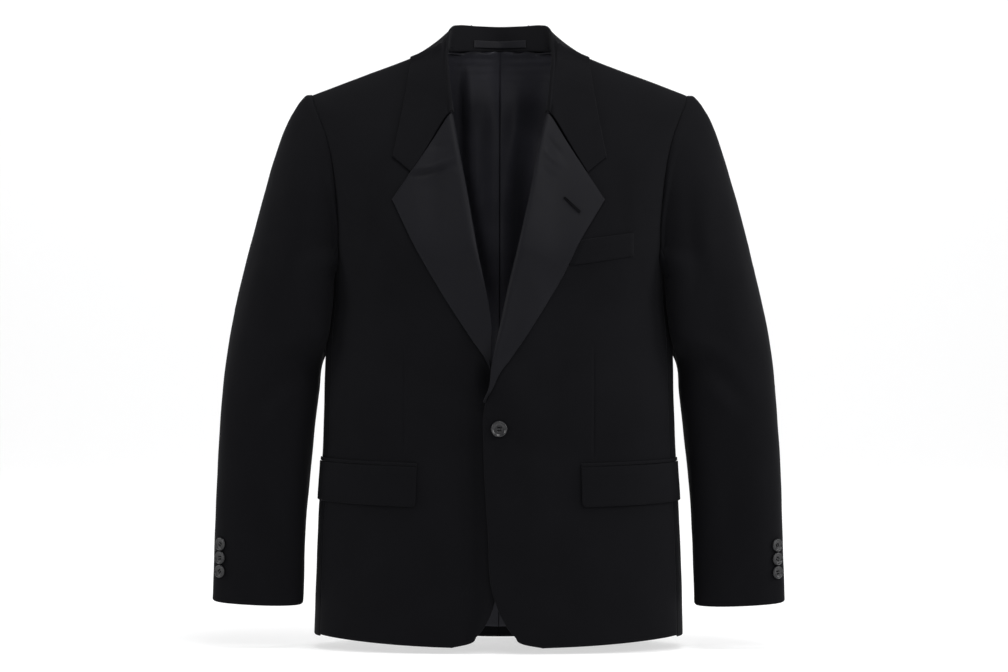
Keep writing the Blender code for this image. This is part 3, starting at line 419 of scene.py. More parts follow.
def between(values, at):
    """Rows of a list or grid read again at places between them, on smooth curves."""
    values = np.asarray(values, float)
    flat = values.reshape(len(values), -1)
    out = spline(np.arange(len(values), dtype=float), flat, np.asarray(at, float))
    return out.reshape(len(at), *values.shape[1:])


def ease(value, start, end):
    """0 before start, 1 after end, and smooth between."""
    t = np.clip((np.asarray(value, float) - start) / (end - start), 0, 1)
    return t * t * (3 - 2 * t)


def within(value, start, full, late, end):
    """0 before start and after end, 1 from full to late, and smooth between."""
    return ease(value, start, full) * (1 - ease(value, late, end))


def unit(vectors):
    """Vectors of length one."""
    return vectors / np.maximum(np.linalg.norm(vectors, axis=-1, keepdims=True), 1e-9)


def points(x, y, z):
    """One array of points from their coordinates."""
    return np.stack(np.broadcast_arrays(x, y, z), axis=-1).astype(float)


def shares(count, length):
    """Places from 0 to 1 across a panel of a given width, closer together at both edges."""
    near = EDGE_STEPS / length
    inner = np.linspace(near[-1], 1 - near[-1], count)
    return np.unique(np.concatenate((near, inner, 1 - near)))


def creased(creases, x, z):
    """How far the cloth rises at each point, summed over a table of creases."""
    out = np.zeros(np.broadcast(x, z).shape)
    for row in creases:
        length = math.hypot(row.to_x - row.x, row.to_z - row.z)
        along_x = (row.to_x - row.x) / length
        along_z = (row.to_z - row.z) / length
        t = ((x - row.x) * along_x + (z - row.z) * along_z) / length
        inside = np.clip(t, 0, 1)
        aside = (x - row.x) * along_z - (z - row.z) * along_x - row.bow * 4 * inside * (1 - inside)
        out += row.depth * within(t, -0.15, 0.35, 0.65, 1.15) * np.exp(-(aside / row.width) ** 2)
    return out * bpy.context.scene.jacket.crease_strength


def waves(x, z, start):
    """The slight unevenness of pressed cloth, a fraction of a millimetre high."""
    slow = np.sin(31 * x + 17 * z + start) * np.sin(13 * x - 23 * z + 2.1 * start)
    quick = np.sin(71 * x - 37 * z + 1.3 * start) * np.sin(29 * x + 83 * z + 0.7 * start)
    return (WAVE_HEIGHT * slow + RIPPLE_HEIGHT * quick) * bpy.context.scene.jacket.crease_strength


def ring_power(z):
    """Squareness of the body's cross section at a height."""
    return RING_POWER + (WAIST_POWER - RING_POWER) * within(-z, 0.250, 0.330, 0.370, 0.470)


def body_y(x, z, face):
    """Depth of the body cloth's outer surface, on the front (-1) or the back (+1)."""
    depth = smooth(BODY, "front" if face < 0 else "back", z)
    reach = smooth(SHOULDER, "front_reach" if face < 0 else "back_reach", np.abs(x))
    power = SHOULDER_POWER[face]
    across = np.clip(np.abs(x) / smooth(BODY, "half_width", z), 0, 1)
    bend = ring_power(z)
    ring = smooth(BODY, "centre", z) + face * depth * (1 - across ** bend) ** (1 / bend)
    drop = np.clip((smooth(SHOULDER, "z", np.abs(x)) - z) / reach, 0, 1)
    return SHOULDER_Y + (ring - SHOULDER_Y) * (1 - (1 - drop) ** power) ** (1 / power)


def body_x(y, z):
    """Half width of the body cloth's outer surface at a depth, below the armhole's notches."""
    offset = y - smooth(BODY, "centre", z)
    depth = np.where(offset < 0, smooth(BODY, "front", z), smooth(BODY, "back", z))
    across = np.clip(np.abs(offset) / depth, 0, 1)
    bend = ring_power(z)
    return smooth(BODY, "half_width", z) * (1 - across ** bend) ** (1 / bend)


def face_normal(x, z, face):
    """Outward direction of the body's front or back surface, on the wearer's left half."""
    step = 0.001
    across = (body_y(x + step, z, face) - body_y(x - step, z, face)) / (2 * step)
    down = (body_y(x, z, face) - body_y(x, z - step, face)) / step
    slope = (smooth(SHOULDER, "z", x + step) - smooth(SHOULDER, "z", x - step)) / (2 * step)
    plain = unit(points(-face * across, face * np.ones_like(across), -face * down))
    ridge = unit(points(-slope, 0.0, 1.0))
    near = 1 - ease(smooth(SHOULDER, "z", x) - z, 0.0005, 0.012)
    return unit(plain * (1 - near[..., None]) + ridge * near[..., None])


def side_normal(y, z):
    """Outward direction of the body's side surface, on the wearer's left half."""
    step = 0.001
    across = (body_x(y + step, z) - body_x(y - step, z)) / (2 * step)
    down = (body_x(y, z + step) - body_x(y, z - step)) / (2 * step)
    return unit(points(np.ones_like(across), -across, -down))


def mirrored(grid, side):
    """A grid drawn on the wearer's left, moved to its own side."""
    return grid * np.array((side, 1.0, 1.0))


def grid_normals(grid):
    """Directions square to a grid of points."""
    return unit(np.cross(np.gradient(grid, axis=0), np.gradient(grid, axis=1)))


def outward(grid, towards):
    """Directions square to a grid, on the side of a direction."""
    normals = grid_normals(grid)
    return normals * np.sign(np.sum(normals.mean(axis=(0, 1)) * np.array(towards)))


def hem_z(x, face):
    """Height of the hem, lowest at the middle of the front and of the back."""
    across = np.abs(x) / smooth(BODY, "half_width", HEM_OUTER_Z)
    lowest = HEM_FRONT_Z if face < 0 else HEM_BACK_Z
    return lowest + (HEM_OUTER_Z - lowest) * across ** 2


def hole_edge(z, face):
    """A point of the armhole's front or back edge, above the notches."""
    x = smooth(ARMHOLE, "x", z)
    return points(x, body_y(x, z, face), z)


def notch_y(face):
    """Depth of the body seam where it meets the armhole."""
    return float(body_y(smooth(ARMHOLE, "x", NOTCH_Z), NOTCH_Z, face))


def underarm_shares(count):
    """Places from -1 to 1 along the underarm, from the front notch to the back notch."""
    return np.sin(0.5 * math.pi * shares(count, 0.16) * 2 - 0.5 * math.pi)


def underarm(share):
    """A point of the armhole's lower curve, from the front notch (-1) to the back notch (+1)."""
    share = np.asarray(share, float)
    y = 0.5 * (notch_y(-1) + notch_y(1)) + 0.5 * share * (notch_y(1) - notch_y(-1))
    z = NOTCH_Z + (UNDERARM_Z - NOTCH_Z) * np.sqrt(np.clip(1 - share ** 2, 0, 1))
    return points(body_x(y, z), y, z)


def seam_x(z):
    """Half width of the seams between the side body and the front or back."""
    share = smooth(ARMHOLE, "x", NOTCH_Z) / smooth(BODY, "half_width", NOTCH_Z)
    return float(share) * smooth(BODY, "half_width", z)


def layer(side, x, z):
    """How far a front leaves the middle layer: outward on the wearer's left, inward on the right.

    Both lie apart where they overlap, and spring farther apart where the lapel starts to turn.
    """
    lap = OVERLAP * (1 - ease(np.abs(x), 0.030, 0.075)) * (1 - ease(z, -0.330, -0.260))
    if side > 0:
        spring = BREAK_SPRING * (1 - ease(np.abs(x), 0.006, 0.045))
    else:
        spring = BREAK_DIP * (1 - ease(np.abs(x), 0.013, 0.032))
    return side * (lap + spring * np.exp(-((z - BREAK_Z - BREAK_RISE) / BREAK_REACH) ** 2))


def front_points(side, x, z, out=0.0):
    """Points on a front's outer surface, moved out, in the wearer's left half's coordinates."""
    base = points(x, body_y(x, z, -1), z)
    return base + face_normal(x, z, -1) * (layer(side, x, z) + out)[..., None]


def hole_turn(z):
    """Degrees round the sleeve at which its section meets the armhole's edge."""
    share = np.sqrt(np.clip(1 - ((NOTCH_Z - z) / (NOTCH_Z - UNDERARM_Z)) ** 2, 0, 1))
    low = 180 - np.degrees(np.arcsin(share * math.sin(math.radians(ARMHOLE[0].turn))))
    return np.where(z < NOTCH_Z, low, smooth(ARMHOLE, "turn", z))


def tube_points(turn, z):
    """Points of the left sleeve's surface: 0 degrees is outward, 90 forward and 180 inward."""
    face = np.where(np.sin(np.radians(turn)) >= 0, -1.0, 1.0)
    outer = smooth(SLEEVE, "outer", z)
    centre = smooth(SLEEVE, "centre", z)
    low_width = 0.5 * (outer - smooth(SLEEVE, "inner", z))
    low_depth = smooth(SLEEVE, "half_depth", z)
    high_z = np.maximum(z, NOTCH_Z)
    edge = np.radians(np.clip(hole_turn(high_z), 14, 180))
    hole_x = smooth(ARMHOLE, "x", high_z)
    high_width = (outer - hole_x) / (1 - np.cos(edge))
    hole_y = np.where(face < 0, body_y(hole_x, high_z, -1), body_y(hole_x, high_z, 1))
    high_depth = np.abs(hole_y - centre) / np.maximum(np.sin(edge), 0.2)
    low = ease(-z, -NOTCH_Z - 0.010, -UNDERARM_Z)
    width = np.where(z > UNDERARM_Z, high_width * (1 - low) + low_width * low, low_width)
    depth = high_depth * (1 - low) + low_depth * low
    across = np.cos(np.radians(turn))
    ahead = np.sin(np.radians(turn))
    facing = ease(-across, -0.2, 0.6)
    shift = smooth(SLEEVE_LAP, "shift", z)
    squared = facing + (1 - facing) * ease(-z, 0.32, 0.50)
    square = 2 + (smooth(SLEEVE_LAP, "square", z) - 2) * squared
    reach = (np.abs(across) ** square + np.abs(ahead) ** square) ** (-1 / square)
    x = outer - width + width * across * reach - shift * facing
    forward = ease(shift, 0.0, LAP_FULL) * facing * ease(ahead, 0.0, 0.5)
    y = centre - depth * ahead * reach - LAP_FORWARD * forward
    touch = body_x(y, z) + HOLE_GAP + SLEEVE_AIR * ease(-z, -UNDERARM_Z - 0.03, -UNDERARM_Z + 0.02)
    pressed = 0.5 * (x + touch + np.sqrt((x - touch) ** 2 + TOUCH_SOFT ** 2)) - 0.25 * TOUCH_SOFT
    x = np.where(z < NOTCH_Z, x + (pressed - x) * ease(-z, -NOTCH_Z, -NOTCH_Z + 0.012), x)
    return points(x, y, z)


def tube_inward(turn, z):
    """Directions into the left sleeve from its surface."""
    round_arm = tube_points(turn + 1.0, z) - tube_points(turn - 1.0, z)
    along = tube_points(turn, z + 0.001) - tube_points(turn, z - 0.001)
    return unit(np.cross(round_arm, along))


def head_inward(holes, turns):
    """Directions into the sleeve at the armhole, following the body's cloth where the two meet flat."""
    z = holes[:, 2]
    own = tube_inward(turns, np.minimum(z, ARMHOLE[-1].z - 0.004))
    front = -face_normal(holes[:, 0], z, -1)
    back = -face_normal(holes[:, 0], z, 1)
    body = np.where(np.sin(np.radians(turns))[:, None] >= 0, front, back)
    share = ease(np.sum(body * own, axis=-1), 0.0, 0.5) * (z > NOTCH_Z - 0.001)
    return unit(own + (body - own) * share[:, None])


def ring_points(turn, z, out=0.0):
    """Points round the lower body moved out: 0 degrees is the side and 90 the middle of the front."""
    def on_ring(angle, height):
        """Points on the body itself."""
        across = np.cos(np.radians(angle)) ** (2 / RING_POWER)
        ahead = np.abs(np.sin(np.radians(angle))) ** (2 / RING_POWER)
        return points(smooth(BODY, "half_width", height) * across,
                      smooth(BODY, "centre", height) - smooth(BODY, "front", height) * ahead, height)

    step = 0.5
    round_body = on_ring(turn + step, z) - on_ring(turn - step, z)
    upward = on_ring(turn, z + 0.001) - on_ring(turn, z - 0.001)
    normal = unit(np.cross(upward, round_body))
    return on_ring(turn, z) + normal * np.asarray(out)[..., None]


def rows_between(count, per_level):
    """Places between the levels of a panel, closer together at its lower and upper edge."""
    last = count - 1
    near = np.array((0.15, 0.38))
    even = np.linspace(0, last, last * per_level + 1)
    return np.unique(np.round(np.concatenate((even, near, last - near)), 4))


def thinned(places, least):
    """Rising places without those that follow the one before too closely."""
    kept = [0.0]
    for place in np.sort(places)[1:]:
        if place - kept[-1] > least:
            kept.append(float(place))
    kept[-1] = 1.0
    return np.array(kept)


def lengths(grid, axis):
    """Distance along the cloth from the first row or column to each point."""
    steps = np.linalg.norm(np.diff(grid, axis=axis), axis=-1)
    first = np.zeros_like(np.take(steps, [0], axis=axis))
    return np.concatenate((first, np.cumsum(steps, axis=axis)), axis=axis)


def border_of(rows, columns):
    """Row and column of each point round a grid's edge."""
    spots = [(0, c) for c in range(columns)]
    spots += [(r, columns - 1) for r in range(1, rows)]
    spots += [(rows - 1, c) for c in range(columns - 2, -1, -1)]
    spots += [(r, 0) for r in range(rows - 2, 0, -1)]
    return np.array(spots)


def add_mesh(name, vertices, faces, looks, indexes=None, cloth=None):
    """One smooth mesh object with its materials and its place on the cloth in metres."""
    mesh = bpy.data.meshes.new(name)
    mesh.from_pydata(vertices.tolist(), [], faces)
    for look in looks:
        mesh.materials.append(look)
    if indexes is not None:
        mesh.polygons.foreach_set("material_index", indexes)
    if cloth is not None:
        corners = np.empty(len(mesh.loops), dtype=np.int32)
        mesh.loops.foreach_get("vertex_index", corners)
        layer_made = mesh.uv_layers.new(name="cloth")
        layer_made.data.foreach_set("uv", cloth[corners].ravel())
    mesh.shade_smooth()
    made = bpy.data.objects.new(name, mesh)
    bpy.context.scene.collection.objects.link(made)
    return made


def shell(name, outer, inner, looks, depth_room=EDGE_DROP):
    """A thin closed piece between two grids of points, with a rounded edge all round."""
    rows, columns = outer.shape[:2]
    spots = border_of(rows, columns)
    r, c = spots[:, 0], spots[:, 1]
    inside_r = np.clip(r, 1, rows - 2)
    inside_c = np.clip(c, 1, columns - 2)
    away = unit(outer[r, c] - outer[inside_r, inside_c])
    into = unit(inner[r, c] - outer[r, c])
    rim = 0.5 * (outer[r, c] + inner[r, c]) + away * (EDGE_ROUND - EDGE_ROOM)
    face = outer.copy()
    back = inner.copy()
    face[r, c] += into * depth_room - away * EDGE_ROOM
    back[r, c] -= into * depth_room + away * EDGE_ROOM
    count = rows * columns
    vertices = np.concatenate((face.reshape(-1, 3), back.reshape(-1, 3), rim))
    base = (np.arange(rows - 1)[:, None] * columns + np.arange(columns - 1)).ravel()
    quads = np.stack((base, base + 1, base + columns + 1, base + columns), axis=1)
    edge = r * columns + c
    after = np.roll(edge, -1)
    ring = 2 * count + np.arange(len(edge))
    ring_after = np.roll(ring, -1)
    near = np.stack((after, edge, ring, ring_after), axis=1)
    far = np.stack((ring_after, ring, edge + count, after + count), axis=1)
    faces = np.concatenate((quads, quads[:, ::-1] + count, near, far))
    square = np.cross(np.gradient(outer, axis=0), np.gradient(outer, axis=1))
    if np.sum(square * (outer - inner)) > 0:
        faces = faces[:, ::-1]
    indexes = np.zeros(len(faces), dtype=np.int32)
    if len(looks) > 1:
        indexes[len(quads):2 * len(quads)] = 1
    place = np.stack((lengths(outer, 1), lengths(outer, 0)), axis=-1).reshape(-1, 2)
    cloth = np.concatenate((place, place, place[edge]))
    return add_mesh(name, vertices, faces.tolist(), looks, indexes, cloth)


Cut = namedtuple("Cut", "width length area")
CUTS = {
    "front": Cut(0.262, 0.840, 0.165),
    "back": Cut(0.280, 0.805, 0.178),
    "side": Cut(0.150, 0.495, 0.0405),
    "top_sleeve": Cut(0.245, 0.672, 0.144),
    "under_sleeve": Cut(0.150, 0.580, 0.066),
    "lapel": Cut(0.098, 0.383, 0.0206),
    "collar": Cut(0.560, 0.095, 0.044),
    "flap": Cut(0.172, 0.0495, 0.0082),
    "lining_back": Cut(0.265, 0.765, 0.172),
}


def settle(piece, slot, nodes=(), cut=None, held="hung", rests_on=()):
    """Puts a finished piece on the jacket's body, in place of its solids; the cut it is given is not
    used.
    """
    if nodes:
        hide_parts(*nodes)
    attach(piece, "root")
    return piece


def linear(hex_code):
    """An sRGB colour as linear red, green and blue."""
    channels = [int(hex_code[k:k + 2], 16) / 255 for k in (0, 2, 4)]
    return [c / 12.92 if c <= 0.04045 else ((c + 0.055) / 1.055) ** 2.4 for c in channels]


def wire(tree, node, settings, links):
    """Sets a node's sockets and properties and links its inputs."""
    for name, value in settings.items():
        if name in node.inputs:
            node.inputs[name].default_value = value
        else:
            setattr(node, name, value)
    for name, socket in links.items():
        tree.links.new(socket, node.inputs[name])


def add_node(tree, kind, settings=None, links=None):
    """Adds one node, with its sockets and properties set and its inputs linked."""
    made = tree.nodes.new(kind)
    wire(tree, made, settings or {}, links or {})
    return made


def turned_by(tree, place, degrees):
    """The same place with its axes turned."""
    return add_node(tree, "ShaderNodeMapping", {"Rotation": (0.0, 0.0, math.radians(degrees))},
                    {"Vector": place}).outputs["Vector"]


def noise(tree, place, settings):
    """How strong a noise texture is at a place."""
    return add_node(tree, "ShaderNodeTexNoise", settings, {"Vector": place}).outputs["Fac"]


def blend(tree, dark, light, share):
    """A colour between two others."""
    return add_node(tree, "ShaderNodeMixRGB", {"Color1": (*dark, 1.0), "Color2": (*light, 1.0)},
                    {"Fac": share}).outputs["Color"]


def spread(tree, low, high, share):
    """A value between two others."""
    return add_node(tree, "ShaderNodeMapRange", {"To Min": low, "To Max": high},
                    {"Value": share}).outputs["Result"]


def raised(tree, strength, distance, height):
    """The direction of a surface with a fine relief."""
    return add_node(tree, "ShaderNodeBump", {"Strength": strength, "Distance": distance},
                    {"Height": height}).outputs["Normal"]


def new_material(name, space="UV"):
    """A material with its nodes, its shader and the place on its surface, or only the one there was."""
    old = bpy.data.materials.get(name)
    if old is not None:
        return old, None, None, None
    made = bpy.data.materials.new(name)
    made.use_nodes = True
    tree = made.node_tree
    place = add_node(tree, "ShaderNodeTexCoord").outputs[space]
    return made, tree, tree.nodes["Principled BSDF"], place


WEAVE_PITCH = 0.0015    # twill ribs drawn 4 times as wide as the real 0.4 mm, or they wouldn't show
SATIN_FLOAT = 0.0012    # length over which the satin's floating threads change
LINING_PITCH = 0.0012   # lining twill drawn 5 times as wide as the real one
WAVE_TURNS = 0.314      # a wave texture of scale 1 has this period in metres


def worsted_wool():
    """Pressed worsted twill: matte black, faint diagonal ribs, and a lighter bloom at the edges."""
    made, tree, shader, place = new_material("worsted_wool")
    if tree is None:
        return made
    look = bpy.context.scene.jacket
    twill = add_node(tree, "ShaderNodeTexWave", {"Scale": WAVE_TURNS / WEAVE_PITCH, "Distortion": 1.2,
                                                 "Detail": 2.0, "Detail Scale": 3.0},
                     {"Vector": turned_by(tree, place, 63)})
    slub = noise(tree, place, {"Scale": 900.0, "Detail": 3.0, "Roughness": 0.6})
    cloud = noise(tree, place, {"Scale": 14.0, "Detail": 4.0, "Roughness": 0.55})
    ribs = add_node(tree, "ShaderNodeMixRGB", {"Fac": 0.45},
                    {"Color1": twill.outputs["Color"], "Color2": slub}).outputs["Color"]
    shade = blend(tree, look.wool_shadow, look.wool_colour, ribs)
    worn = add_node(tree, "ShaderNodeMixRGB", {"blend_type": "MULTIPLY", "Fac": 0.35},
                    {"Color1": shade, "Color2": cloud})
    constants = {
        "IOR": 1.54,
        "Specular IOR Level": 0.045,
        "Sheen Weight": 0.02,
        "Sheen Roughness": 0.45,
        "Sheen Tint": (*linear("e1e2ea"), 1.0),
    }
    wire(tree, shader, constants, {
        "Base Color": worn.outputs["Color"],
        "Roughness": spread(tree, 0.78, 0.92, ribs),
        "Normal": raised(tree, 0.35, 0.00012, ribs),
    })
    return made


def duchesse_satin():
    """Heavy satin: long floating threads lie side by side and give a soft, directed shine."""
    made, tree, shader, place = new_material("duchesse_satin")
    if tree is None:
        return made
    look = bpy.context.scene.jacket
    drawn = add_node(tree, "ShaderNodeMapping", {"Scale": (0.12, 1.0, 1.0)}, {"Vector": place})
    floats = noise(tree, drawn.outputs["Vector"],
                   {"Scale": 1 / SATIN_FLOAT, "Detail": 3.0, "Roughness": 0.6})
    cloud = noise(tree, place, {"Scale": 22.0, "Detail": 3.0, "Roughness": 0.5})
    constants = {
        "IOR": 1.54,
        "Specular IOR Level": 0.07,
        "Anisotropic": 0.2,
        "Sheen Weight": 0.01,
        "Sheen Roughness": 0.35,
    }
    wire(tree, shader, constants, {
        "Base Color": blend(tree, look.satin_shadow, look.satin_colour, cloud),
        "Roughness": spread(tree, 0.50, 0.62, floats),
        "Normal": raised(tree, 0.22, 0.00010, floats),
    })
    return made


def viscose_lining():
    """Viscose twill lining: thin and slippery, with a broad soft shine along its folds."""
    made, tree, shader, place = new_material("viscose_lining")
    if tree is None:
        return made
    look = bpy.context.scene.jacket
    twill = add_node(tree, "ShaderNodeTexWave", {"Scale": WAVE_TURNS / LINING_PITCH, "Distortion": 0.8},
                     {"Vector": turned_by(tree, place, 45)})
    drift = noise(tree, place, {"Scale": 30.0, "Detail": 3.0})
    wire(tree, shader, {"IOR": 1.53, "Specular IOR Level": 0.12, "Anisotropic": 0.3}, {
        "Base Color": blend(tree, look.lining_shadow, look.lining_colour, drift),
        "Roughness": spread(tree, 0.36, 0.48, drift),
        "Normal": raised(tree, 0.15, 0.00008, twill.outputs["Fac"]),
    })
    return made


def polished_horn():
    """Dyed buffalo horn, turned and polished: charcoal with paler clouds under a soft gloss."""
    made, tree, shader, place = new_material("polished_horn", "Object")
    if tree is None:
        return made
    look = bpy.context.scene.jacket
    grain = noise(tree, place, {"Scale": 190.0, "Detail": 4.0, "Distortion": 1.5})
    constants = {"IOR": 1.55, "Specular IOR Level": 0.35, "Coat Weight": 0.12, "Coat Roughness": 0.15}
    wire(tree, shader, constants, {
        "Base Color": blend(tree, look.horn_shadow, look.horn_colour, grain),
        "Roughness": spread(tree, 0.26, 0.40, grain),
    })
    return made


def silk_thread():
    """Black silk twist: small round stitches with a dull shine."""
    made, tree, shader, place = new_material("silk_thread", "Object")
    if tree is None:
        return made
    twist = noise(tree, place, {"Scale": 2500.0, "Detail": 2.0})
    wire(tree, shader, {"Roughness": 0.7, "Specular IOR Level": 0.05},
         {"Base Color": blend(tree, linear("050506"), linear("0e0e10"), twist)})
    return made


def matte_paper():
    """The studio's matte paper, nearly white, with a faint tone of its fibre and a little glow."""
    made, tree, shader, place = new_material("matte_paper", "Object")
    if tree is None:
        return made
    fibre = noise(tree, place, {"Scale": 60.0, "Detail": 3.0})
    constants = {
        "Roughness": 0.95,
        "Specular IOR Level": 0.1,
        "Emission Color": (*linear("ffffff"), 1.0),
        "Emission Strength": 0.62,
    }
    wire(tree, shader, constants,
         {"Base Color": blend(tree, linear("b4b4b5"), linear("b8b8b8"), fibre)})
    return made


def sew(start, name, grids, looks, slot="wool", fabric="cloth", room=EDGE_DROP, **rest):
    """Makes one panel of a left and right pair from its outer and inner face, and settles it."""
    node = start + "_" + name
    outer, inner = [mirrored(grid, SIDES[name]) for grid in grids]
    piece = shell(node + "_" + fabric, outer, inner, looks, room)
    settle(piece, slot, [node], CUTS.get(start), **rest)


def panel_columns(width, count, power, least, steps=EDGE_STEPS, more=()):
    """Places from 0 to 1 across a front or back, closer together at both edges."""
    near = steps / width
    even = np.sin(0.5 * math.pi * np.linspace(0, 1, count) ** power)
    return thinned(np.concatenate((near, 1 - near, more, even)), least)


def outer_edge(levels_z):
    """Half width of a front or back where it meets the side body, or the sleeve above it."""
    return np.where(levels_z <= NOTCH_Z, seam_x(levels_z), smooth(ARMHOLE, "x", levels_z))


def make_fronts():
    """Both fronts, each ending at the armhole, the shoulder seam, the roll line and the hem."""
    at = rows_between(len(EDGE_LEVELS), 8)
    outer_z = between([HEM_SIDE_Z, *LEVELS, *[row.z for row in ARMHOLE]], at)
    places = between(EDGE_LEVELS, at)
    beside = DART_SHARE + np.array((-0.0030, -0.0016, -0.0008, 0.0, 0.0008, 0.0016, 0.0030)) / 0.2
    across = panel_columns(0.2, 66, 0.9, 0.0035, more=beside)
    dart = int(np.argmin(np.abs(across - DART_SHARE)))
    looks = [worsted_wool(), viscose_lining()]
    for name, side in SIDES.items():
        inner_x = smooth(FRONT_EDGE, name, places)
        outer_x = outer_edge(outer_z)
        meets = np.clip((DART_X - inner_x) / (outer_x - inner_x), 0.35, 0.80)[:, None]
        low = across / across[dart] * meets
        high = 1 - (1 - across) / (1 - across[dart]) * (1 - meets)
        share = np.where(across <= across[dart], low, high)
        x = inner_x[:, None] + (outer_x - inner_x)[:, None] * share
        z = places[:, None] + (outer_z - places)[:, None] * share
        climb = (at / at[-1])[:, None]
        top = smooth(SHOULDER, "z", x[-1])
        z += (top - z[-1]) * climb ** 6
        z += (hem_z(x[0], -1) - z[0]) * (1 - climb) ** 12
        z[0, 0] = places[0]
        rise = creased(FRONT_CREASES[name], x, z) + waves(x, z, 1.0 + side)
        rise *= ease(share, 0.0, 0.06) * ease(1 - share, 0.0, 0.04)
        length = within(z, DART_FOOT_Z, DART_FOOT_Z + 0.02, DART_TOP_Z - 0.03, DART_TOP_Z)
        rise -= DART_DEPTH * np.exp(-((x - DART_X) / 0.0012) ** 2) * length
        outer = front_points(side, x, z, rise)
        inner = outer - face_normal(x, z, -1) * CLOTH
        sew("front", name, (outer, inner), looks)


def back_grid(at, across):
    """Half widths and heights of a back: rows from hem to shoulder, columns from the centre out."""
    levels = np.array([HEM_SIDE_Z, *LEVELS, *[row.z for row in ARMHOLE]])
    outer_z = between(levels, at)
    places = between(np.interp(levels, (HEM_SIDE_Z, NOTCH_Z, TIP_Z), (HEM_BACK_Z, -0.205, 0.0)), at)
    x = outer_edge(outer_z)[:, None] * across
    z = places[:, None] + (outer_z - places)[:, None] * across
    climb = (at / at[-1])[:, None]
    neck_climb = smooth(SHOULDER, "z", NECK_X) - BACK_NECK_Z
    neck = BACK_NECK_Z + np.clip(x[-1] / NECK_X, 0, 1) ** 2.2 * neck_climb
    top = np.where(x[-1] < NECK_X, neck, smooth(SHOULDER, "z", x[-1]))
    z += (top - z[-1]) * climb ** 6
    z += (hem_z(x[0], 1) - z[0]) * (1 - climb) ** 12
    return x, z


def make_backs():
    """Both backs, joined at the centre seam, from the hem to the shoulder and the neck."""
    across = panel_columns(0.21, 60, 0.95, 0.004)
    x, z = back_grid(rows_between(20, 7), across)
    for name, side in SIDES.items():
        rise = creased(BACK_CREASES, x, z) + waves(x, z, 4.0 + side)
        rise *= ease(across, 0.0, 0.08) * ease(1 - across, 0.0, 0.04) * ease(-z, 0.0, 0.05)
        outer = points(x, body_y(x, z, 1), z) + face_normal(x, z, 1) * rise[..., None]
        inner = outer - face_normal(x, z, 1) * CLOTH
        sew("back", name, (outer, inner), [worsted_wool()])


def make_sides():
    """The side bodies, between the front and the back under each arm."""
    bottom_shares = underarm_shares(30)
    bottom = underarm(bottom_shares)
    at = rows_between(12, 7)
    edge_z = between([HEM_SIDE_Z, *LEVELS, NOTCH_Z], at)
    climb = (edge_z - edge_z[0]) / (edge_z[-1] - edge_z[0])
    z = edge_z[0] + climb[:, None] * (bottom[:, 2] - edge_z[0])
    front_y = body_y(seam_x(edge_z), edge_z, -1)
    back_y = body_y(seam_x(edge_z), edge_z, 1)
    y = front_y[:, None] + (back_y - front_y)[:, None] * 0.5 * (1 + bottom_shares)
    for name, side in SIDES.items():
        rise = waves(y, z, 7.0 + side) * ease(1 - np.abs(bottom_shares), 0.0, 0.1)
        outer = points(body_x(y, z), y, z) + side_normal(y, z) * rise[..., None]
        inner = outer - side_normal(y, z) * CLOTH
        sew("side", name, (outer, inner), [worsted_wool(), viscose_lining()])


def sleeve_holes():
    """Armhole points for the columns of the top sleeve and of the under sleeve, with their turns."""
    heights = between([row.z for row in ARMHOLE], rows_between(len(ARMHOLE), 5))
    back_high = heights[(heights > HINDARM_HOLE + 0.0005) & (heights < heights[-1])]
    back_high = np.concatenate(([HINDARM_HOLE, HINDARM_HOLE + 0.0012], back_high))
    back_low = heights[heights < HINDARM_HOLE - 0.0005]
    back_low = np.concatenate((back_low, [HINDARM_HOLE - 0.0012, HINDARM_HOLE]))
    bottom_shares = underarm_shares(34)
    bottom = underarm(bottom_shares)
    top = np.concatenate((hole_edge(back_high, 1), hole_edge(heights[::-1], -1)))
    top_turns = np.concatenate((-hole_turn(back_high), hole_turn(heights[::-1])))
    under = np.concatenate((bottom, hole_edge(back_low[1:], 1)))
    low_turns = hole_turn(bottom[:, 2])
    low_turns = np.where(bottom_shares > 0, 360 - low_turns, low_turns)
    under_turns = np.concatenate((low_turns, 360 - hole_turn(back_low[1:])))
    return top, top_turns, under, under_turns


def sleeve_grid(name, side, holes, turns, first_turn, last_turn):
    """Points of one sleeve panel and the directions into it, rows from the armhole to the cuff."""
    climb = shares(140, 0.60)[:, None]
    even = np.linspace(0, 1, len(turns))
    cuff_turns = first_turn + (last_turn - first_turn) * even
    at_forearm = 0.5 + 0.5 * np.cos(np.radians(cuff_turns - FOREARM_CUFF_TURN))
    slow = climb ** 1.3
    quick = ease(climb, 0.02, 0.35)
    turn = turns + (cuff_turns - turns) * (slow + (quick - slow) * at_forearm)
    cuff_angles = np.radians(cuff_turns)
    cuff = CUFF_Z - CUFF_DIP * np.sin(cuff_angles) + CUFF_SLANT * np.cos(cuff_angles)
    z = holes[:, 2] + (cuff - holes[:, 2]) * climb
    grid = tube_points(turn, z)
    grid[0] = holes + np.array((HOLE_GAP, 0.0, 0.0))
    inward = tube_inward(turn, z)
    inward[0] = head_inward(holes, turns)
    place = np.mod(turn, 360) / 1000
    rise = creased(SLEEVE_CREASES[name], place, z) + waves(place, z, 2.0 + side)
    down = lengths(grid, 0)
    rise *= ease(down, 0.004, 0.05) * ease(1 - climb, 0.0, 0.02)
    crown = 0.5 + 0.5 * np.cos(np.radians(turns))
    rise += SHOULDER_ROPE * crown * np.exp(-((down - 0.008) / 0.006) ** 2)
    low_front = np.exp(-((turns - 122) / 26) ** 2)
    rise += HEAD_SWELL * low_front * np.exp(-((down - 0.009) / 0.007) ** 2)
    grid = grid - inward * rise[..., None]
    return grid, inward


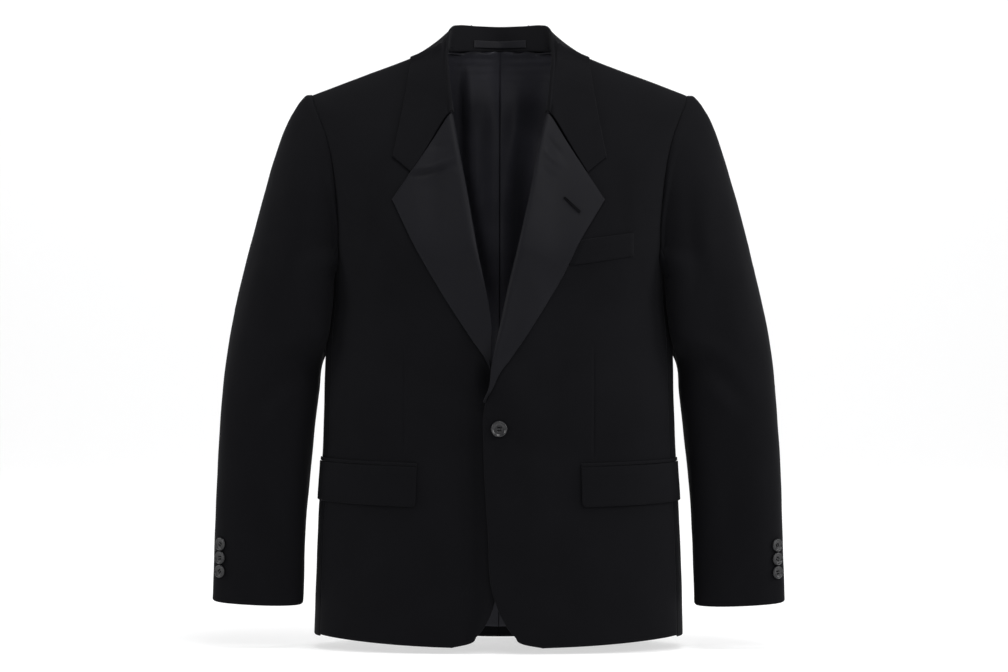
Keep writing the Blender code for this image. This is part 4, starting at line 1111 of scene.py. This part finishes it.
def make_sleeves():
    """The top and under sleeves, open tubes from the armholes to the cuffs."""
    top, top_turns, under, under_turns = sleeve_holes()
    looks = [worsted_wool(), viscose_lining()]
    for name, side in SIDES.items():
        panels = {
            "top_sleeve": (top, top_turns, HINDARM_CUFF_TURN, FOREARM_CUFF_TURN),
            "under_sleeve": (under, under_turns, FOREARM_CUFF_TURN, HINDARM_CUFF_TURN + 360),
        }
        for start, panel in panels.items():
            outer, inward = sleeve_grid(name, side, *panel)
            inner = outer + inward * CLOTH
            sew(start, name, (outer, inner), looks)


def lapel_grid(name, side, rows, at):
    """Points of a lapel's outer face: rows from the gorge to the break, columns over the roll."""
    roll_z = GORGE_Z + (BREAK_Z - GORGE_Z) * rows
    edge_z = LAPEL_POINT_Z + (LAPEL_FOOT_Z - LAPEL_POINT_Z) * rows
    roll_x = smooth(FRONT_EDGE, name, roll_z)
    edge_x = smooth(LAPEL_EDGE, name, edge_z)
    share, along, rise = between([tuple(row) for row in ROLL], at).T
    x = roll_x[:, None] + (edge_x - roll_x)[:, None] * share + along
    z = roll_z[:, None] + (edge_z - roll_z)[:, None] * share
    soft = 1 - ease(-z, ROLL_SOFT[name].start, ROLL_SOFT[name].end)
    rises = np.where(rise > REST_RISE, REST_RISE + (rise - REST_RISE) * soft, rise)
    fold = creased(LAPEL_CREASES[name], x, z) * ease(share, 0.0, 0.1) * ease(1 - share, 0.0, 0.08)
    return front_points(side, x, z, rises + fold + np.maximum(0.0, -fold) * 0.4)


def make_lapels():
    """Both satin lapels, rolled over the front's edge and lying on the front."""
    rows = shares(190, 0.34)
    at = np.concatenate((np.linspace(0, 1, 50), np.linspace(0, 0.43, 14), (0.985, 0.995)))
    at = thinned(at, 0.003)
    for name, side in SIDES.items():
        grid = lapel_grid(name, side, rows, at * (len(ROLL) - 1))
        inner = grid - outward(grid, (0, -1, 0)) * CLOTH
        sew("lapel", name, (grid, inner), [duchesse_satin()], "satin", "satin",
            held="folded", rests_on=["front_" + name + "_cloth"])


def on_body(x, z, face, out):
    """Points moved out from the body's surface; face 0 is the shoulder seam."""
    if face == 0:
        return np.array((x, SHOULDER_Y, float(smooth(SHOULDER, "z", x)) + out + SEAM_ROOM))
    y = float(body_y(x, z, face))
    normal = face_normal(np.array([x]), np.array([z]), face)[0]
    return np.array((x, y, z)) + normal * out


def collar_sections(places_at):
    """The collar's neck seam, fold and outer edge at places from the right end (-1) to the left."""
    places = np.array([row.share for row in COLLAR])
    seams = []
    folds = []
    edges = []
    for row in COLLAR:
        face = 1 if row.share < 0.52 else -1
        seam = on_body(row.seam_x, row.seam_z - 0.002, face, 0.0)
        to_neck = unit(np.array((0.0, NECK_Y, seam[2])) - seam)
        ahead = NECK_AHEAD * within(row.share, 0.0, 0.25, 0.42, 0.60)
        seams.append(seam + to_neck * (2 * CLOTH + NECK_GAP) - np.array((0.0, ahead, 0.0)))
        folds.append((row.x, row.y, row.z))
        rise = REST_RISE if row.edge_face else RIDGE_RISE
        edges.append(on_body(row.edge_x, row.edge_z, row.edge_face, rise))
    both = np.concatenate((-places[:0:-1], places))
    out = []
    for half in (np.array(seams), np.array(folds), np.array(edges)):
        other = half[:0:-1] * np.array((-1, 1, 1))
        out.append(spline(both, np.concatenate((other, half)), places_at))
    return out


def lifted(place, rise):
    """Points moved out to at least a rise above the body, less where they cross the shoulder seam."""
    flip = np.ones_like(place)
    flip[place[:, 0] < 0, 0] = -1.0
    place = place * flip
    for _ in range(4):
        ridge = smooth(SHOULDER, "z", place[:, 0])
        z = np.minimum(place[:, 2], ridge - 0.0002)
        ahead = place[:, 1] < SHOULDER_Y
        x = place[:, 0]
        y = np.where(ahead, body_y(x, z, -1), body_y(x, z, 1))
        normal = np.where(ahead[:, None], face_normal(x, z, -1), face_normal(x, z, 1))
        above = np.sum((place - points(x, y, z)) * normal, axis=-1)
        least = rise * (1 - 0.7 * np.exp(-((place[:, 1] - SHOULDER_Y) / 0.020) ** 2))
        place = place + normal * np.maximum(least - above, 0.0)[:, None]
    return place * flip


def collar_grid(places_at, fall_shares):
    """Points of the collar's visible face: up the stand, over the fold and down the fall."""
    seam, fold, edge = collar_sections(places_at)
    away = unit(edge - fold)
    down = unit(seam - fold)
    top_in = fold - away * FOLD_REACH + down * 0.0030
    top_out = fold + away * FOLD_REACH + down * 0.0014
    columns = [seam, 0.5 * (seam + top_in), top_in, fold, top_out]
    end = np.abs(places_at)
    side = np.where(places_at < 0, -1.0, 1.0)
    weight = ease(end, 0.72, 1.0) ** 1.3
    for share in fall_shares:
        point = top_out + (edge - top_out) * share
        line_x = abs(point[-1, 0])
        line_z = point[-1, 2]
        corner = min(share / NOTCH_SHARE, 1.0)
        tip = max((share - NOTCH_SHARE) / (1 - NOTCH_SHARE), 0.0)
        gorge_x = GORGE_START[0] + (NOTCH_CORNER[0] - GORGE_START[0]) * corner
        gorge_z = GORGE_START[1] + (NOTCH_CORNER[1] - GORGE_START[1]) * corner
        end_x = gorge_x + (COLLAR[-1].edge_x - NOTCH_CORNER[0]) * tip
        end_z = gorge_z + (COLLAR[-1].edge_z - NOTCH_CORNER[1]) * tip
        point[:, 0] += side * (end_x - line_x) * weight
        point[:, 2] += (end_z - line_z) * weight
        z = np.minimum(point[:, 2], smooth(SHOULDER, "z", np.abs(point[:, 0])) - 0.0002)
        inside = point[:, 1] - body_y(np.abs(point[:, 0]), z, -1)
        point[:, 1] -= np.maximum(inside, 0.0) * ease(end, 0.62, 0.80)
        columns.append(lifted(point, REST_RISE + FALL_RISE * (1 - share) ** 2))
    return np.stack(columns, axis=1)


def make_collar():
    """The collar: one folded wall from the neck seam over the fold to the outer edge."""
    fall = np.unique(np.concatenate((np.linspace(0.04, 1.0, 25), (NOTCH_SHARE, 0.985, 0.995))))
    places_at = shares(160, 0.5) * 2 - 1
    grid = collar_grid(places_at, fall)
    end = np.abs(places_at)
    round_neck = within(end, 0.34, 0.42, 0.64, 0.74)[1:-1, None, None]
    for _ in range(COLLAR_PASSES):
        beside = 0.5 * (grid[:-2, 5:] + grid[2:, 5:])
        grid[1:-1, 5:] += 0.5 * (beside - grid[1:-1, 5:]) * round_neck
    for column in range(5, grid.shape[1]):
        grid[:, column] = lifted(grid[:, column], REST_RISE - 0.0001)
    stand = between(np.swapaxes(grid[:, :6], 0, 1), thinned(np.linspace(0, 1, 26), 0.01) * 5)
    grid = np.concatenate((np.swapaxes(stand, 0, 1), grid[:, 6:]), axis=1)
    inner = grid - grid_normals(grid) * CLOTH
    piece = shell("collar_cloth", grid, inner, [worsted_wool()])
    settle(piece, "wool", ["collar"], CUTS["collar"], "folded", ["back_left_cloth", "back_right_cloth"])


def make_pockets():
    """A jet and a flap at each hip pocket, the flap's lower front corner rounded."""
    along = np.concatenate((np.linspace(0, 1, 60), np.linspace(0, 0.09, 16), (0.980, 0.992)))
    along = thinned(along, 0.004)
    half = float(smooth(BODY, "half_width", POCKET_Z))
    first = math.degrees(math.acos((FLAP_FRONT_X / half) ** (RING_POWER / 2)))
    turns = first + (FLAP_REAR_TURN - first) * along ** 1.15
    seam = POCKET_Z + POCKET_CLIMB * along
    bend = 1 - np.minimum(along * FLAP_WIDTH / FLAP_CORNER, 1)
    corner = FLAP_CORNER * (1 - np.sqrt(1 - bend ** 2))
    drop = shares(20, FLAP_HEIGHT)[:, None]
    z = seam - (FLAP_HEIGHT - corner) * drop - 0.0004
    turn = np.broadcast_to(turns, z.shape)
    bulge = 0.0006 * np.sin(math.pi * drop) * np.sin(math.pi * along) + waves(turn / 500, z, 3.0)
    flap = ring_points(turn, z, FLAP_RISE + bulge)
    band = seam + np.linspace(0, 1, 8)[:, None] * JET_HEIGHT
    jet = ring_points(np.broadcast_to(turns, band.shape), band, JET_RISE)
    for name in SIDES:
        body = ["front_" + name + "_cloth", "side_" + name + "_cloth"]
        for start, grid, depth in (("flap", flap, CLOTH), ("pocket_jet", jet, JET_DEPTH)):
            inner = grid - outward(grid, (1, -1, 0)) * depth
            sew(start, name, (grid, inner), [worsted_wool()], rests_on=body)


def make_breast_welt():
    """The slanted welt of the breast pocket on the wearer's left front."""
    across = np.linspace(-WELT_TUCK / WELT_WIDTH, 1, 80)
    z = WELT_TOP_Z + WELT_CLIMB * across - WELT_HEIGHT * shares(14, WELT_HEIGHT)[:, None]
    x = np.broadcast_to(WELT_X + WELT_WIDTH * across, z.shape)
    clear = ease(x - smooth(LAPEL_EDGE, "left", z), 0.001, 0.008) * (1 - ease(across, 0.93, 1.0))
    grid = front_points(1, x, z, WELT_LOW + (JET_RISE - WELT_LOW) * clear)
    inner = grid - outward(grid, (0, -1, 0)) * JET_DEPTH
    piece = shell("breast_welt_cloth", grid, inner, [worsted_wool()])
    settle(piece, "wool", ["breast_welt"])


Turned = namedtuple("Turned", "radius height")
BUTTON_PROFILE = (
    Turned(0.00, 0.00),
    Turned(0.78, 0.00),
    Turned(0.92, 0.12),
    Turned(1.00, 0.45),
    Turned(0.98, 0.80),
    Turned(0.92, 1.00),
    Turned(0.84, 0.98),
    Turned(0.76, 0.78),
    Turned(0.66, 0.60),
    Turned(0.50, 0.54),
    Turned(0.30, 0.55),
    Turned(0.00, 0.56),
)
EYE_SPACING = 0.19      # distance of each eye from the button's middle, as a share of its radius
EYE_RADIUS = 0.115
EYE_DEPTH = 0.45        # as a share of the button's depth
RIM_ROWS = 8            # the profile's rows up to this one are round; the rest are the dish
RIM_POINTS = 26         # points of the finished profile before it turns down inside the rim
BUTTON_SEGMENTS = 96
STITCH_ASIDE = 0.028    # two threads lie this far either side of the line between their eyes
STITCH_RADIUS = 0.030   # as a share of the button's radius, like the one above
THREAD_PITCH = 0.0011   # length over which a thread's strands wind once


def ring_faces(rings, sides):
    """Four-cornered faces between closed rings of points that follow each other."""
    faces = []
    for start in range(0, (rings - 1) * sides, sides):
        for s in range(sides):
            after = start + (s + 1) % sides
            faces.append((start + s, after, after + sides, start + s + sides))
    return faces


def tube(path, radius, sides, twist=0.0):
    """Points and faces of a round closed thread along a path; twist makes its strands show."""
    path = np.asarray(path, float)
    ahead = unit(np.gradient(path, axis=0))
    seed = np.array((0.31, 0.17, 0.93))
    side = unit(np.cross(ahead, seed))
    up = np.cross(side, ahead)
    angle = np.linspace(0, 2 * math.pi, sides, endpoint=False)
    run = lengths(path[:, None], 0)[:, 0]
    width = radius * (1 + twist * np.sin(run[:, None] * 2 * math.pi / THREAD_PITCH + angle))
    width[0] *= 0.2
    width[-1] *= 0.2
    ring = side[:, None] * np.cos(angle)[:, None] + up[:, None] * np.sin(angle)[:, None]
    vertices = (path[:, None] + ring * width[..., None]).reshape(-1, 3)
    faces = ring_faces(len(path), sides)
    faces.append(tuple(range(sides))[::-1])
    faces.append(tuple(range(len(vertices) - sides, len(vertices))))
    return vertices, faces


def make_button(name, centre, normal, radius, depth, turn):
    """A turned horn button with a rim, four eyes and thread, its back on the given centre."""
    normal = unit(np.array(normal, float))
    side = unit(np.cross(normal, (0.0, 0.0, 1.0)))
    up = np.cross(side, normal)
    outline = between([tuple(row) for row in BUTTON_PROFILE], np.linspace(0, RIM_ROWS, 33))
    dish = np.linspace(0.64, 0.02, 40)
    dish_height = np.interp(dish, *zip(*BUTTON_PROFILE[:RIM_ROWS - 1:-1]))
    profile = np.concatenate((outline[1:], np.stack((dish, dish_height), axis=1)))
    angle = np.linspace(0, 2 * math.pi, BUTTON_SEGMENTS, endpoint=False)
    flat = profile[:, :1] * np.stack((np.cos(angle), np.sin(angle)), axis=-1)[:, None]
    flat = np.swapaxes(flat, 0, 1)
    height = np.broadcast_to(profile[:, 1:], flat.shape[:2]).copy()
    eyes = np.array([(math.cos(a), math.sin(a)) for a in np.radians(turn + np.arange(4) * 90)])
    eyes = eyes * EYE_SPACING * math.sqrt(2)
    inside_rim = np.arange(len(profile))[:, None] >= RIM_POINTS
    for eye in eyes:
        from_eye = np.linalg.norm(flat - eye, axis=-1) / EYE_RADIUS
        height -= EYE_DEPTH * (1 - ease(from_eye, 0.75, 1.15)) * inside_rim
    vertices = centre + radius * (flat[..., :1] * side + flat[..., 1:] * up)
    vertices = vertices + normal * depth * height[..., None]
    middle = centre + normal * depth * BUTTON_PROFILE[-1].height
    vertices = np.concatenate((vertices.reshape(-1, 3), [centre, middle]))
    faces = ring_faces(len(profile), BUTTON_SEGMENTS)
    end = len(profile) * BUTTON_SEGMENTS
    last = end - BUTTON_SEGMENTS
    for s in range(BUTTON_SEGMENTS):
        after = (s + 1) % BUTTON_SEGMENTS
        faces.append((end, after, s))
        faces.append((end + 1, last + s, last + after))
    horn_faces = len(faces)
    arch = np.linspace(0, 1, 9)[:, None]
    lift = 0.40 + 0.30 * np.sin(math.pi * arch) ** 0.6
    for start, stop in ((eyes[0], eyes[1]), (eyes[3], eyes[2])):
        for aside in (-STITCH_ASIDE, STITCH_ASIDE):
            across = unit(start - stop)[::-1] * np.array((1, -1)) * aside
            line = start + (stop - start) * arch + across
            path = centre + radius * (line[:, :1] * side + line[:, 1:] * up) + normal * depth * lift
            more, more_faces = tube(path, radius * STITCH_RADIUS, 6)
            faces += [tuple(k + len(vertices) for k in face) for face in more_faces]
            vertices = np.concatenate((vertices, more))
    indexes = np.zeros(len(faces), dtype=np.int32)
    indexes[horn_faces:] = 1
    return add_mesh(name, vertices, faces, [polished_horn(), silk_thread()], indexes)


def make_buttons():
    """The front button and three cuff buttons close together on each sleeve."""
    look = bpy.context.scene.jacket
    place = front_points(1, np.array([BUTTON_X]), np.array([BUTTON_Z]), np.array([BUTTON_LIFT]))[0]
    piece = make_button("button_front_horn", place, (0.0, -1.0, 0.0),
                        look.button_width / 2, BUTTON_DEPTH, 45)
    settle(piece, "horn", ["button_front"])
    turn = np.array([CUFF_BUTTON_TURN])
    for number in range(3):
        z = np.array([CUFF_Z + CUFF_BUTTON_RISE + number * CUFF_BUTTON_PITCH])
        normal = -tube_inward(turn, z)[0]
        centre = tube_points(turn, z)[0] + normal * BUTTON_LIFT
        for name, side in SIDES.items():
            flip = np.array((side, 1.0, 1.0))
            label = "cuff_button_" + name + "_" + str(number + 1)
            spin = 20 + 37 * number + 15 * side
            piece = make_button(label + "_horn", centre * flip, normal * flip,
                                look.cuff_button_width / 2, CUFF_BUTTON_DEPTH, spin)
            settle(piece, "horn", [label])


Worked = namedtuple("Worked", "x z to_x to_z rise aside thread slot")
BUTTONHOLES = {
    "lapel_buttonhole": Worked(0.080, -0.1915, 0.099, -0.2090, 0.0045, 0.0009, 0.0006,
                               "satin"),
    "front_buttonhole": Worked(0.003, BUTTON_Z, 0.021, BUTTON_Z + 0.0006, 0.0001, 0.0006, 0.0004,
                               "wool"),
}


def make_buttonholes():
    """The worked buttonhole of the left lapel and the one that the front button passes through."""
    turn = np.linspace(0, 2 * math.pi, 73)
    along = 0.5 - 0.5 * np.clip(1.12 * np.cos(turn), -1, 1)
    across = np.clip(2.2 * np.sin(turn), -1, 1)
    for name, hole in BUTTONHOLES.items():
        run = np.array((hole.to_x - hole.x, hole.to_z - hole.z))
        aside = np.array((-run[1], run[0])) / math.hypot(*run) * hole.aside
        x = hole.x + run[0] * along + aside[0] * across
        z = hole.z + run[1] * along + aside[1] * across
        path = front_points(1, x, z, np.full(x.shape, hole.rise))
        vertices, faces = tube(path, hole.thread, 8, 0.25)
        piece = add_mesh(name, vertices, faces, [silk_thread()])
        settle(piece, hole.slot)


def lining_hang(name, x, z):
    """How far the lining hangs forward of the back: loose at the seam, and pulled to the left front."""
    line = np.interp(z, *zip(*HANG_LINE[name]))
    down = BACK_NECK_Z - z
    held = ease(down, -0.010, 0.070) * ease(z, -0.36, -0.25)
    if name == "right":
        return HANG_NEAR * (1 - ease(x, line - 0.004, line + 0.010)) * held
    pulled = HANG_FAR * ease(x, line, line + 0.034) * ease(down, 0.0, 0.190)
    return (HANG_NEAR + pulled) * (1 - ease(x, 0.064, 0.110)) * held


def make_lining():
    """The two halves of the back lining, which meet in a soft centre pleat above the hem."""
    across = panel_columns(0.21, 64, 0.95, 0.004, EDGE_STEPS[:3])
    rows = rows_between(20, 7)
    x, z = back_grid(rows[rows >= 1.0], across)
    z += (hem_z(x[0], 1) + LINING_HEM - z[0]) * (1 - ease(z - z[0], 0.0, 0.05))
    drop = LINING_DROP + CORNER_DROP * within(x, 0.030, 0.052, 0.076, 0.095)
    z -= drop * np.linspace(0, 1, len(z))[:, None] ** 8
    base = points(x, body_y(x, z, 1), z) - face_normal(x, z, 1) * (CLOTH + LINING_AIR)
    pull = LINING_RETURN * ease(across, 0.80, 1.0)
    base += unit(base[:, -2] - base[:, -1])[:, None] * pull[:, None]
    for name, side in SIDES.items():
        outer = base.copy()
        outer[:, 0, 0] += 0.0003
        pleat = (1 - ease(outer[..., 0], 0.002, 0.024)) * ease(-outer[..., 2], 0.02, 0.08)
        fold = creased(LINING_CREASES[name], x, z) + waves(x, z, 5.0 + side) * 2
        pucker = 0.0005 * np.sin(z / 0.0016) * ease(z, -0.045, -0.012) * ease(x, 0.002, 0.02)
        free = ease(across, 0.0, 0.03) * ease(1 - across, 0.0, 0.10) * ease(z - z[0], 0.0, 0.02)
        free *= ease(BACK_NECK_Z - z, 0.001, 0.024)
        lift = PLEAT_DEPTH * pleat + np.maximum(fold, -0.0006) * free + pucker
        outer[..., 1] -= lift + lining_hang(name, x, z)
        inner = outer + outward(outer, (0, -1, 0)) * LINING
        sew("lining_back", name, (outer, inner), [viscose_lining()], "lining", room=LINING_EDGE_DROP,
            rests_on=["back_" + name + "_cloth"])


def make_hanger_loop():
    """The flat loop inside the collar stand, by which the jacket hangs."""
    grid = collar_grid(np.linspace(-LOOP_SHARE, LOOP_SHARE, 60), FALL_SHARES)
    low = grid[:, 0]
    high = grid[:, 2]
    band = np.linspace(*LOOP_BAND, 10)[:, None, None]
    strip = low + (high - low) * band
    normal = outward(strip, (0, -1, 0))
    base = strip + normal * LOOP_AIR
    outer = base + normal * LOOP_THICKNESS
    piece = shell("hanger_loop_cloth", outer, base, [duchesse_satin()])
    settle(piece, "wool", ["hanger_loop"])


Lamp = namedtuple("Lamp", "name place aim width height watts")
LAMPS = (
    Lamp("key_light", (1.0, -3.0, 1.9), (0.0, -0.1, -0.3), 3.0, 1.0, 43),
    Lamp("right_fill", (-3.3, -2.4, 0.9), (0.0, -0.1, -0.35), 1.4, 2.2, 20),
    Lamp("left_fill", (3.3, -2.4, 0.9), (0.0, -0.1, -0.35), 1.4, 2.2, 38),
    Lamp("top_light", (0.4, -0.9, 2.4), (0.0, -0.1, -0.1), 1.2, 0.8, 37),
    Lamp("left_light", (2.9, -0.5, 0.8), (0.3, -0.1, -0.35), 0.8, 1.6, 42),
    Lamp("right_light", (-2.9, -0.5, 0.8), (-0.3, -0.1, -0.35), 0.8, 1.6, 34),
    Lamp("wall_light", (0.0, 1.2, 3.0), (0.0, 6.2, 0.0), 4.0, 0.8, 120),
)
AIR_STRENGTH = 0.12
STUDIO_HALF_WIDTH = 9.0
FLOOR_FRONT_Y = -9.0
FLOOR_DROP = 0.0008     # the floor lies this far below the hem
CURVE_Y = 5.0           # where the floor starts to curve up into the wall
CURVE_RADIUS = 1.6
WALL_TOP_Z = 8.0
CAMERA_PLACE = (0.006, -4.08, -0.361)
CAMERA_LENS = 112.86    # millimetres, on a sensor 36 mm wide
CAMERA_ROLL = 0.12      # degrees


def add_light(lamp, strength):
    """A soft rectangular studio light that faces a point."""
    data = bpy.data.lights.new(lamp.name, "AREA")
    data.shape = "RECTANGLE"
    data.size = lamp.width
    data.size_y = lamp.height
    data.energy = lamp.watts * strength
    made = bpy.data.objects.new(lamp.name, data)
    made.location = lamp.place
    away = Vector(lamp.place) - Vector(lamp.aim)
    made.rotation_euler = away.to_track_quat("Z", "Y").to_euler()
    bpy.context.scene.collection.objects.link(made)


def make_backdrop():
    """The pale floor that curves up behind the jacket."""
    floor_z = HEM_BACK_Z - FLOOR_DROP
    profile = [(FLOOR_FRONT_Y, floor_z), (-3.0, floor_z), (2.0, floor_z)]
    for angle in np.linspace(0, 0.5 * math.pi, 25):
        rise = CURVE_RADIUS * (1 - math.cos(angle))
        profile.append((CURVE_Y + CURVE_RADIUS * math.sin(angle), floor_z + rise))
    profile.append((CURVE_Y + CURVE_RADIUS, WALL_TOP_Z))
    ends = (-STUDIO_HALF_WIDTH, STUDIO_HALF_WIDTH)
    vertices = np.array([(x, y, z) for y, z in profile for x in ends])
    faces = [(2 * k, 2 * k + 1, 2 * k + 3, 2 * k + 2) for k in range(len(profile) - 1)]
    add_mesh("studio_floor", vertices, faces, [matte_paper()])


def add_camera():
    """The camera, level with the middle of the jacket and straight in front of it."""
    data = bpy.data.cameras.new("view_camera")
    data.sensor_width = 36.0
    data.lens = CAMERA_LENS
    data.clip_start = 0.1
    data.clip_end = 60.0
    camera = bpy.data.objects.new("view_camera", data)
    roll = math.radians(CAMERA_ROLL)
    right = (math.cos(roll), 0.0, math.sin(roll))
    up = (-math.sin(roll), 0.0, math.cos(roll))
    turned = Matrix((right, up, (0.0, -1.0, 0.0))).transposed()
    camera.rotation_euler = turned.to_euler()
    camera.location = CAMERA_PLACE
    bpy.context.scene.collection.objects.link(camera)
    bpy.context.scene.camera = camera


def make_stage():
    """The floor and wall, the air, the soft lights and the camera."""
    scene = bpy.context.scene
    make_backdrop()
    world = bpy.data.worlds.new("studio_air")
    world.use_nodes = True
    air = world.node_tree.nodes["Background"]
    air.inputs["Color"].default_value = (*linear("ffffff"), 1.0)
    air.inputs["Strength"].default_value = AIR_STRENGTH
    scene.world = world
    scene.view_settings.view_transform = "Standard"
    for lamp in LAMPS:
        add_light(lamp, scene.jacket.light_strength)
    add_camera()


def colour_setting(name, description, hex_code):
    """A colour that a user may change."""
    return bpy.props.FloatVectorProperty(name=name, description=description, subtype="COLOR", size=3,
                                         min=0.0, max=1.0, default=linear(hex_code))


def width_setting(name, description, least, most, usual):
    """A width that a user may change."""
    return bpy.props.FloatProperty(name=name, description=description, subtype="DISTANCE",
                                   unit="LENGTH", min=least, max=most, default=usual)


class JacketSettings(bpy.types.PropertyGroup):
    """Sizes and colours of the jacket that a user may change before making it."""

    wool_colour: colour_setting("Wool", "Colour of the worsted on the ribs of its weave", "131316")
    wool_shadow: colour_setting("Wool, darker", "Colour of the worsted between its ribs", "0a0a0c")
    satin_colour: colour_setting("Satin", "Colour of the lapels' satin", "141418")
    satin_shadow: colour_setting("Satin, darker", "Colour of the satin at its darkest", "121215")
    lining_colour: colour_setting("Lining", "Colour of the lining", "303036")
    lining_shadow: colour_setting("Lining, darker", "Colour of the lining at its darkest", "25252a")
    horn_colour: colour_setting("Horn", "Colour of the pale clouds in the buttons", "28282a")
    horn_shadow: colour_setting("Horn, darker", "Ground colour of the buttons", "161618")
    button_width: width_setting("Front button", "Width of the front button", 0.012, 0.030, 0.020)
    cuff_button_width: width_setting("Cuff buttons", "Width of each cuff button", 0.010, 0.020, 0.016)
    crease_strength: bpy.props.FloatProperty(
        name="Creases", description="How deep the folds of worn cloth are, 1 for lightly worn",
        subtype="FACTOR", min=0.0, max=2.0, default=1.0)
    light_strength: bpy.props.FloatProperty(
        name="Light", description="How bright the studio lights are, 1 for an even white floor",
        subtype="FACTOR", min=0.1, max=3.0, default=1.0)


class JACKET_OT_body(bpy.types.Operator):
    """Makes the fronts, the side bodies and the backs"""

    bl_idname = "jacket.body"
    bl_label = "Body"

    def execute(self, context):
        make_fronts()
        make_sides()
        make_backs()
        return {"FINISHED"}


class JACKET_OT_sleeves(bpy.types.Operator):
    """Makes the top and under sleeves"""

    bl_idname = "jacket.sleeves"
    bl_label = "Sleeves"

    def execute(self, context):
        make_sleeves()
        return {"FINISHED"}


class JACKET_OT_lapels(bpy.types.Operator):
    """Makes the satin lapels"""

    bl_idname = "jacket.lapels"
    bl_label = "Lapels"

    def execute(self, context):
        make_lapels()
        return {"FINISHED"}


class JACKET_OT_collar(bpy.types.Operator):
    """Makes the collar and the hanger loop inside it"""

    bl_idname = "jacket.collar"
    bl_label = "Collar"

    def execute(self, context):
        make_collar()
        make_hanger_loop()
        return {"FINISHED"}


class JACKET_OT_pockets(bpy.types.Operator):
    """Makes the hip pockets' jets and flaps and the breast pocket's welt"""

    bl_idname = "jacket.pockets"
    bl_label = "Pockets"

    def execute(self, context):
        make_pockets()
        make_breast_welt()
        return {"FINISHED"}


class JACKET_OT_buttons(bpy.types.Operator):
    """Makes the buttons and the worked buttonholes"""

    bl_idname = "jacket.buttons"
    bl_label = "Buttons"

    def execute(self, context):
        make_buttons()
        make_buttonholes()
        return {"FINISHED"}


class JACKET_OT_lining(bpy.types.Operator):
    """Makes the back lining"""

    bl_idname = "jacket.lining"
    bl_label = "Lining"

    def execute(self, context):
        make_lining()
        return {"FINISHED"}


class JACKET_OT_stage(bpy.types.Operator):
    """Makes the pale floor, the lights and the camera"""

    bl_idname = "jacket.stage"
    bl_label = "Stage"

    def execute(self, context):
        make_stage()
        return {"FINISHED"}


OPERATORS = (
    JACKET_OT_body,
    JACKET_OT_sleeves,
    JACKET_OT_lapels,
    JACKET_OT_collar,
    JACKET_OT_pockets,
    JACKET_OT_buttons,
    JACKET_OT_lining,
    JACKET_OT_stage,
)


class JACKET_PT_panel(bpy.types.Panel):
    """The jacket's sizes and colours, with a button for each piece"""

    bl_idname = "JACKET_PT_panel"
    bl_label = "Tuxedo jacket"
    bl_space_type = "VIEW_3D"
    bl_region_type = "UI"
    bl_category = "Jacket"

    def draw(self, context):
        for name in JacketSettings.__annotations__:
            self.layout.prop(context.scene.jacket, name)
        for operator in OPERATORS:
            self.layout.operator(operator.bl_idname)


CLASSES = (JacketSettings, *OPERATORS, JACKET_PT_panel)


def register():
    for made in CLASSES:
        bpy.utils.register_class(made)
    bpy.types.Scene.jacket = bpy.props.PointerProperty(type=JacketSettings)


def unregister():
    del bpy.types.Scene.jacket
    for made in reversed(CLASSES):
        bpy.utils.unregister_class(made)


def main():
    """Makes the whole jacket on its stage."""
    register()
    bpy.ops.jacket.stage()
    bpy.ops.jacket.body()
    bpy.ops.jacket.sleeves()
    bpy.ops.jacket.lapels()
    bpy.ops.jacket.collar()
    bpy.ops.jacket.pockets()
    bpy.ops.jacket.buttons()
    bpy.ops.jacket.lining()


if __name__ == "__main__":
    main()
